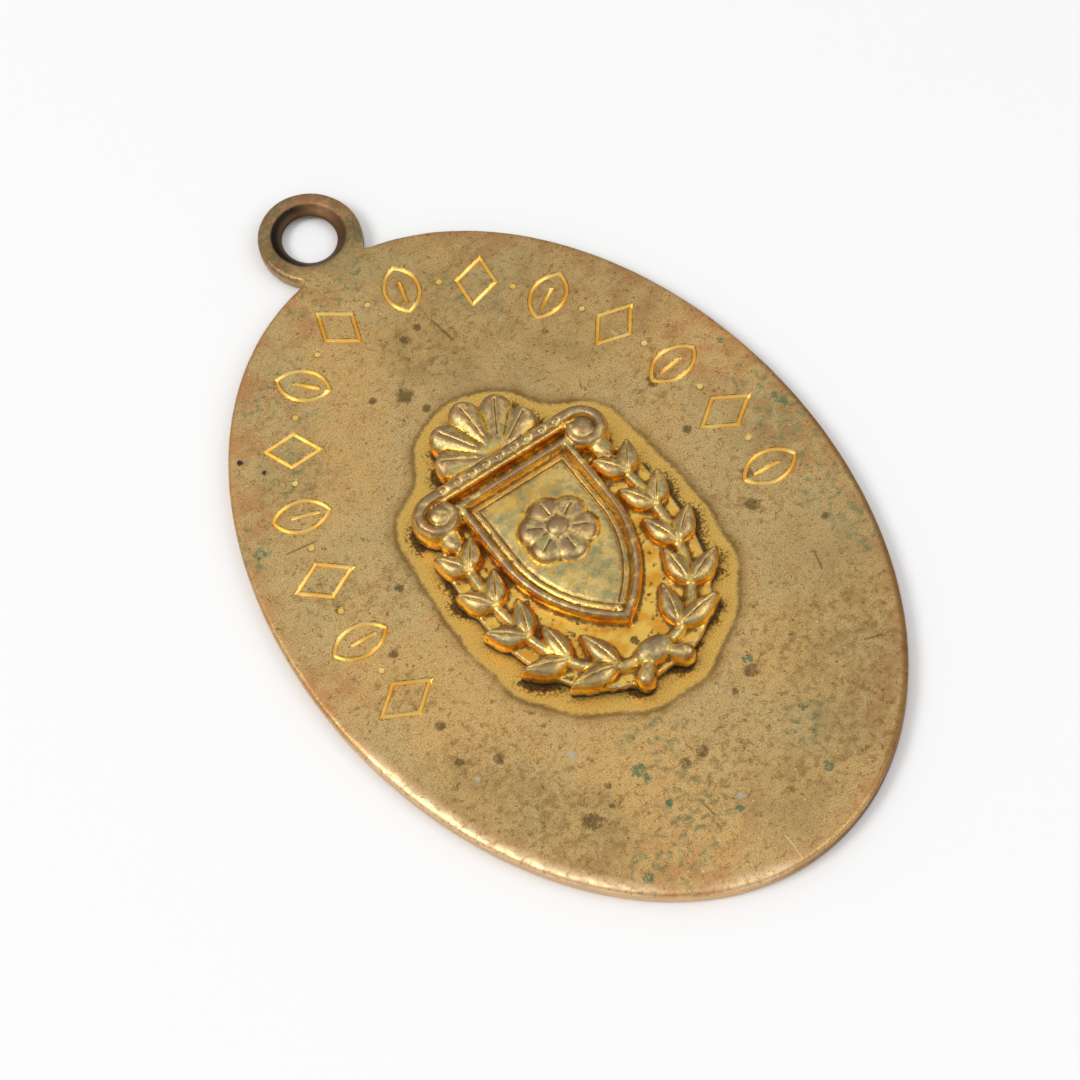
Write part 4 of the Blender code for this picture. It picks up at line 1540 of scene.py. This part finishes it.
crossing = add_node(tree, "ShaderNodeMath", {0: cloud["hairs"], 1: 0.5}, operation="SUBTRACT")
crossing = add_node(tree, "ShaderNodeMath", {0: crossing}, operation="ABSOLUTE")
colour = coats(
    tree, colour,
    # Hair marks, dark dust, pale dust, and the two kinds of scratch
    ("#65492A", 0.6, (crossing, 0.035, 0.008), (cloud["warmth"], 0.51, 0.58)),
    ("#604A2B", 0.6, (cloud["dust"], 0.67, 0.72)),
    ("#EFE6C8", 0.7, (cloud["dust"], 0.3, 0.26)),
    ("#6A4A2A", 0.6, (scratched(BROWN_SCRATCHES), 0.0, 0.9)),
    ("#F4DDAE", 0.6, (scratched(PALE_SCRATCHES), 0.0, 0.9)),
)

# %% [markdown]
# The ring round the ornament
#
# When the ornament was soldered on, flux cleaned a ring round it, and there the brass is still yellow.
# A brown line marks where the flux stopped. Right at the foot old polish has dried into the angle, dark
# brown, thick in some places and only specks in others.

# %% Ring, its brown line and the dirt at the foot
away = add_node(tree, "ShaderNodeMath", {
    0: cloud["fray"],
    1: 0.6,
    2: field["halo"],
}, operation="MULTIPLY_ADD")
colour = coats(
    tree, colour,
    # The clean yellow ring, with its own dark and light grains
    ("#ECC264", 0.9, (away, 2.2, 1.7)),
    ("#B0843A", 0.75, (away, 2.2, 1.7), (cloud["grain"], 0.44, 0.64)),
    ("#FFD97C", 0.6, (away, 2.1, 1.6), (cloud["grain"], 0.44, 0.32)),
    # The brown line: a wide soft one, and a narrow darker one inside it
    ("#8A6634", 0.5, (away, 1.75, 2.1), (away, 3.1, 2.1), (cloud["patch"], 0.35, 0.6, 0.3)),
    ("#6E4E24", 0.55, (away, 1.85, 2.05), (away, 2.4, 2.1), (cloud["mottle"], 0.3, 0.55, 0.3)),
)
near = add_node(tree, "ShaderNodeMath", {
    0: cloud["fray"],
    1: 0.8,
    2: field["from_relief"],
}, operation="MULTIPLY_ADD")
thick = cover(tree, 0.38, (cloud["patch"], 0.48, 0.6))
near = add_node(tree, "ShaderNodeMath", {0: near, 1: thick}, operation="SUBTRACT")
foot_dirt = cover(tree, 0.85, (near, 0.66, 0.4), (cloud["patch"], 0.44, 0.56, 0.3))
colour = coats(
    tree, colour,
    ("#6E4A1A", 0.8, (near, 1.3, 0.6), (cloud["dust"], 0.47, 0.55), (cloud["patch"], 0.44, 0.56, 0.25)),
    ("#45290C", foot_dirt),
)

# %% [markdown]
# Verdigris, pale specks and pits
#
# Verdigris grows in clumps and in flecks near them. It starts as a green tint and ends as a crust.
# A few specks are dried polish, pale and chalky, and a few pits in the sheet are nearly black.

# %% Verdigris, pale specks and pits
flecks = add_node(tree, "ShaderNodeMath", {
    0: field["green_area"],
    1: 0.06,
    2: cloud["specks"],
}, operation="MULTIPLY_ADD")
clump = cover(tree, 1.9, (field["green"], 0.0, 1.0), (cloud["fray"], 0.4, 0.6, 0.05))
flecks = cover(tree, 0.7, (flecks, 0.67, 0.74))
green = cover(tree, 1.0, (clump, 0.3, 0.8))
green = add_node(tree, "ShaderNodeMath", {0: green, 1: flecks}, operation="MAXIMUM")
colour = coats(
    tree, colour,
    ("#6C8A66", 0.5, (field["green_area"], 0.0, 0.9), (cloud["blotch"], 0.46, 0.64)),
    ("#145A3B", 0.76, (green, 0.0, 1.0)),
)
chalk = cover(tree, 1.6, (field["pale"], 0.0, 1.0), (cloud["fray"], 0.36, 0.6, 0.15))
colour = coat(tree, colour, "#B4C2B6", 0.7, (chalk, 0.3, 0.7))
pit = cover(tree, 1.0, (field["pit"], 0.3, 0.6))
colour = coat(tree, colour, "#15100A", pit)

# %% [markdown]
# The eye, the sawn side and the worn rim
#
# The eye was handled less than the plate, so it is browner, and the funnel of its hole is lined with
# old dirt and painted shade, darkest at its upper left. The sawn side of the sheet was never polished; it
# carries painted shade on the right and a painted highlight on the left. Only low on the left has the
# rim been rubbed bare, on whatever the badge was worn against, and there a painted highlight lies on it.

# %% Eye, sawn side and worn rim
axes = add_node(tree, "ShaderNodeSeparateXYZ", {0: place}).outputs
colour = coats(
    tree, colour,
    # The eye: browner, then with coppery blotches, pink mottling and a green tint
    ("#846845", 0.7, (axes["Y"], 33.2, 37.0), (cloud["mottle"], 0.3, 0.6, 0.6)),
    ("#B0835F", 0.6, (axes["Y"], 36.5, 41.0), (cloud["blotch"], 0.4, 0.56, 0.2)),
    ("#C9936F", 0.6, (axes["Y"], 33.5, 36.0), (cloud["warmth"], 0.5, 0.6)),
    ("#6B7C55", 0.6, (axes["Y"], 33.5, 36.0), (field["green_area"], 0.0, 0.9),
     (cloud["fray"], 0.44, 0.58)),
)
throat = cover(tree, 0.95, (field["throat"], 0.0, 0.9), (cloud["fray"], 0.3, 0.6, 0.8))
colour = coats(
    tree, colour,
    # The hole's dirt and painted shade, darkest at the funnel's upper left
    ("#5A3E26", throat),
    ("#120A04", 0.92, (throat, 0.0, 0.8), (field["throat_dirt"], 0.05, 0.7)),
    # The sawn side: painted shade, brown on the right, and a painted highlight, paler on the left.
    # The last one is a painted shade line on the rim's lower right
    ("#6E4E2E", 1.0, (axes["Z"], 1.3, 1.0), (axes["X"], -8.0, 8.0), (cloud["mottle"], 0.2, 0.5, 0.7)),
    ("#E6C79E", 0.6, (axes["Z"], 1.2, 0.9), (axes["X"], 0.0, -8.0), (cloud["mottle"], 0.2, 0.5, 0.5)),
    ("#7C5426", 0.65, (field["from_rim"], 0.65, 0.25), (axes["X"], 4.0, 9.0), (axes["Y"], 8.0, -4.0)),
)
# The rubbed rim: bare brass, with a painted highlight in its pale pinkish white
worn = cover(
    tree, 0.9, (field["worn_rim"], 0.0, 0.9), (field["from_rim"], 1.3, 0.5),
    (cloud["fray"], 0.36, 0.52, 0.15), (axes["Z"], 0.95, 1.2),
)
colour = coat(tree, colour, "#F4D3A4", worn)

# %% Shine of the plate
dull = pit
for cause, share in ((green, 0.8), (foot_dirt, 0.25), (throat, 0.25)):
    dulled = cover(tree, share, (cause, 0.0, 1.0))
    dull = add_node(tree, "ShaderNodeMath", {0: dulled, 1: dull}, operation="MAXIMUM")
metallic = add_node(tree, "ShaderNodeMath", {0: 1.0, 1: dull}, operation="SUBTRACT")
tree.links.new(metallic.outputs[0], shader.inputs["Metallic"])
roughness = add_node(tree, "ShaderNodeMapRange", {
    "Value": cloud["mottle"],
    "From Min": 0.3,
    "From Max": 0.7,
    "To Min": 0.4,
    "To Max": 0.52,
})
roughness = add_node(tree, "ShaderNodeMath", {0: worn, 1: -0.06, 2: roughness}, operation="MULTIPLY_ADD")
height = add_node(tree, "ShaderNodeMath", {0: pit, 1: -0.15}, operation="MULTIPLY")
height = weighed_sum(tree, height, (cloud["mottle"], 0.03), (cloud["grain"], 0.012))
finish_metal(tree, shader, colour, roughness, height)
print("old rolled brass:", len(tree.nodes), "nodes")

# %% [markdown]
# Struck and gilt brass
#
# Gilding is a deep yellow that still shines in the hollows and on the steep sides. Where it is rubbed
# through, the brass under it is pale and a little green, and the proudest places have gone brown again.
# Three things say how much a place was rubbed: how far it stands out, how high it lies, and chance.

# %% Gilding and wear
RELIEF_NOISES = {
    "patch": (2.2, 6.0, 0.6, 0.0),
    "blot": (0.9, 7.0, 0.64, 0.0),
    "fray": (0.6, 7.0, 0.66, 0.0),
    "grain": (0.2, 4.0, 0.7, 0.0),
}
tree, shader, place, cloud, field = metal(struck, RELIEF_NOISES, ["prominence"])
facing = add_node(tree, "ShaderNodeNewGeometry").outputs["Normal"]
facing = add_node(tree, "ShaderNodeSeparateXYZ", {0: facing}).outputs["Z"]
level = add_node(tree, "ShaderNodeSeparateXYZ", {0: place}).outputs["Z"]
rub = weighed_sum(tree, -1.23, (level, 0.3), (field["prominence"], 9.0), (cloud["fray"], 0.9))
worn = cover(tree, 1.0, (rub, 0.02, 0.3), (facing, 0.3, 0.75))

gilt = coat(tree, linear("#F9CC62"), "#E8A63C", 1.0, (cloud["patch"], 0.4, 0.6))
pale = coats(
    tree, linear("#EBCB82"),
    # Pale brass, greener in patches, dulled by grains, and green where it is only just rubbed bare
    ("#C2B578", 1.0, (cloud["patch"], 0.42, 0.58)),
    ("#97845C", 0.5, (cloud["grain"], 0.45, 0.7)),
    ("#84956E", 0.55, (cloud["blot"], 0.5, 0.6), (rub, 0.5, 0.28)),
)
colour = add_node(tree, "ShaderNodeMix", {"Factor": worn, 6: gilt, 7: pale}, data_type="RGBA")
# The proudest places are brown again
colour = coat(tree, colour, "#98705A", 0.75, (rub, 0.26, 0.5), (cloud["blot"], 0.38, 0.52))

# %% Dirt and shine of the ornament
crease = add_node(tree, "ShaderNodeMath", {
    0: cloud["fray"],
    1: 0.09,
    2: field["prominence"],
}, operation="MULTIPLY_ADD")
foot = add_node(tree, "ShaderNodeMath", {0: cloud["fray"], 1: -1.6, 2: level}, operation="MULTIPLY_ADD")
crease = cover(tree, 0.85, (crease, 0.03, 0.0))
foot = cover(tree, 1.0, (foot, 1.5, 0.95))
blot = cover(tree, 0.85, (cloud["blot"], 0.56, 0.62), (rub, 0.3, 0.0))
dirt = add_node(tree, "ShaderNodeMath", {0: crease, 1: foot}, operation="MAXIMUM")
dirt = add_node(tree, "ShaderNodeMath", {0: dirt, 1: blot}, operation="MAXIMUM")
dirt_colour = coat(tree, linear("#3E240C"), "#1E3A2C", 1.0, (cloud["patch"], 0.52, 0.6))
colour = add_node(tree, "ShaderNodeMix", {"Factor": dirt, 6: colour, 7: dirt_colour}, data_type="RGBA")

metallic = add_node(tree, "ShaderNodeMath", {0: dirt, 1: -0.7, 2: 1.0}, operation="MULTIPLY_ADD")
tree.links.new(metallic.outputs[0], shader.inputs["Metallic"])
roughness = add_node(tree, "ShaderNodeMapRange", {"Value": dirt, "To Min": 0.2, "To Max": 0.6})
roughness = add_node(tree, "ShaderNodeMath", {0: worn, 1: 0.17, 2: roughness}, operation="MULTIPLY_ADD")
height = weighed_sum(tree, 0.0, (cloud["blot"], 0.05), (cloud["grain"], 0.02))
finish_metal(tree, shader, colour, roughness, height)
print("struck and gilt brass:", len(tree.nodes), "nodes")

# %% [markdown]
# Bright cut brass
#
# A graver leaves two clean flanks that flash one after the other as the badge is turned. A thin brown line
# along the top edge of each cut is painted shade.

# %% Bright cut brass
CUT_NOISES = {
    "chatter": (2.0, 2.0, 0.5, 0.0),
    "fray": (0.5, 4.0, 0.6, 0.0),
}
tree, shader, place, cloud, field = metal(bright_cut, CUT_NOISES, [])
level = add_node(tree, "ShaderNodeSeparateXYZ", {0: place}).outputs["Z"]
colour = coats(
    tree, linear("#FFDE8E"),
    ("#F8CA68", 1.0, (cloud["chatter"], 0.35, 0.65)),
    # A thin brown line along the top edge of each cut: painted shade
    ("#5E3F16", 0.8, (level, 1.41, 1.47), (cloud["fray"], 0.35, 0.6, 0.35)),
)
roughness = add_node(tree, "ShaderNodeMapRange", {
    "Value": cloud["chatter"],
    "From Min": 0.3,
    "From Max": 0.7,
    "To Min": 0.26,
    "To Max": 0.4,
})
height = add_node(tree, "ShaderNodeMath", {0: cloud["chatter"], 1: 0.01}, operation="MULTIPLY")
finish_metal(tree, shader, colour, roughness, height)

# %% [markdown]
# Put the pieces in the frame
#
# Everything so far was built in millimetres. The frame is in metres, so each mesh is scaled once, in
# its own points. The objects themselves stay at the origin, unturned and unscaled.

# %% Finish the pieces
for piece, name, slot in ((plate, "plate", "tarnished_brass"), (relief, "relief", "gilt_relief")):
    piece.name = name
    piece.data.transform(Matrix.Scale(MM, 4))
    piece.data.shade_smooth()
    piece.data.set_sharp_from_angle(angle=math.radians(40))
    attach(piece, "root")
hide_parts("badge")
for piece in (plate, relief):
    print("triangles of", piece.name + ":", sum(len(face.vertices) - 2 for face in piece.data.polygons))

# %% [markdown]
# Light
#
# The photo was taken on a white sweep under large soft lamps. Polished metal shows whatever stands
# round it, so the room matters as much as the lamps: it is pale overhead and greyer towards the horizon.
# The key lamp stands at the left and draws the forms of the ornament. A larger and weaker one, at the
# lower right, opens the shadows.

# %% Floor, room and lamps
FLOOR_HALF = 1.5
corners = [(x * FLOOR_HALF, y * FLOOR_HALF, 0) for x, y in ((-1, -1), (1, -1), (1, 1), (-1, 1))]
floor = object_from("floor", corners, [(0, 1, 2, 3)])
paper = bpy.data.materials.new("white_paper_sweep")
paper.use_nodes = True
paper.node_tree.nodes["Principled BSDF"].inputs["Base Color"].default_value = linear("#F8F8F8")
paper.node_tree.nodes["Principled BSDF"].inputs["Roughness"].default_value = 0.9
floor.data.materials.append(paper)

world = bpy.data.worlds.new("studio")
bpy.context.scene.world = world
world.use_nodes = True
room = world.node_tree
direction = add_node(room, "ShaderNodeTexCoord").outputs["Generated"]
upwards = add_node(room, "ShaderNodeSeparateXYZ", {0: direction}).outputs["Z"]
glow = add_node(room, "ShaderNodeMapRange", {
    "Value": upwards,
    "From Max": 0.95,
    "To Min": 0.33,
    "To Max": 0.79,
}, interpolation_type="SMOOTHSTEP")
room.links.new(glow.outputs[0], room.nodes["Background"].inputs["Strength"])
room.nodes["Background"].inputs["Color"].default_value = (1.0, 1.0, 1.0, 1.0)


def lamp(name, azimuth, elevation, distance, size, watts):
    """A square lamp that looks at the badge. Azimuth 0 is beyond its top, and 90 is at its right."""
    data = bpy.data.lights.new(name, "AREA")
    data.size = size
    data.energy = watts
    item = placed(name, data)
    a, e = math.radians(azimuth), math.radians(elevation)
    item.location = Vector((math.sin(a) * math.cos(e), math.cos(a) * math.cos(e), math.sin(e))) * distance
    item.rotation_euler = item.location.to_track_quat("Z", "Y").to_euler()
    return item


lamp("key", -75.0, 50.0, 1.0, 0.4, 3.3)
lamp("fill", 140.0, 45.0, 1.0, 0.65, 1.9)
bpy.context.scene.view_settings.view_transform = "Standard"
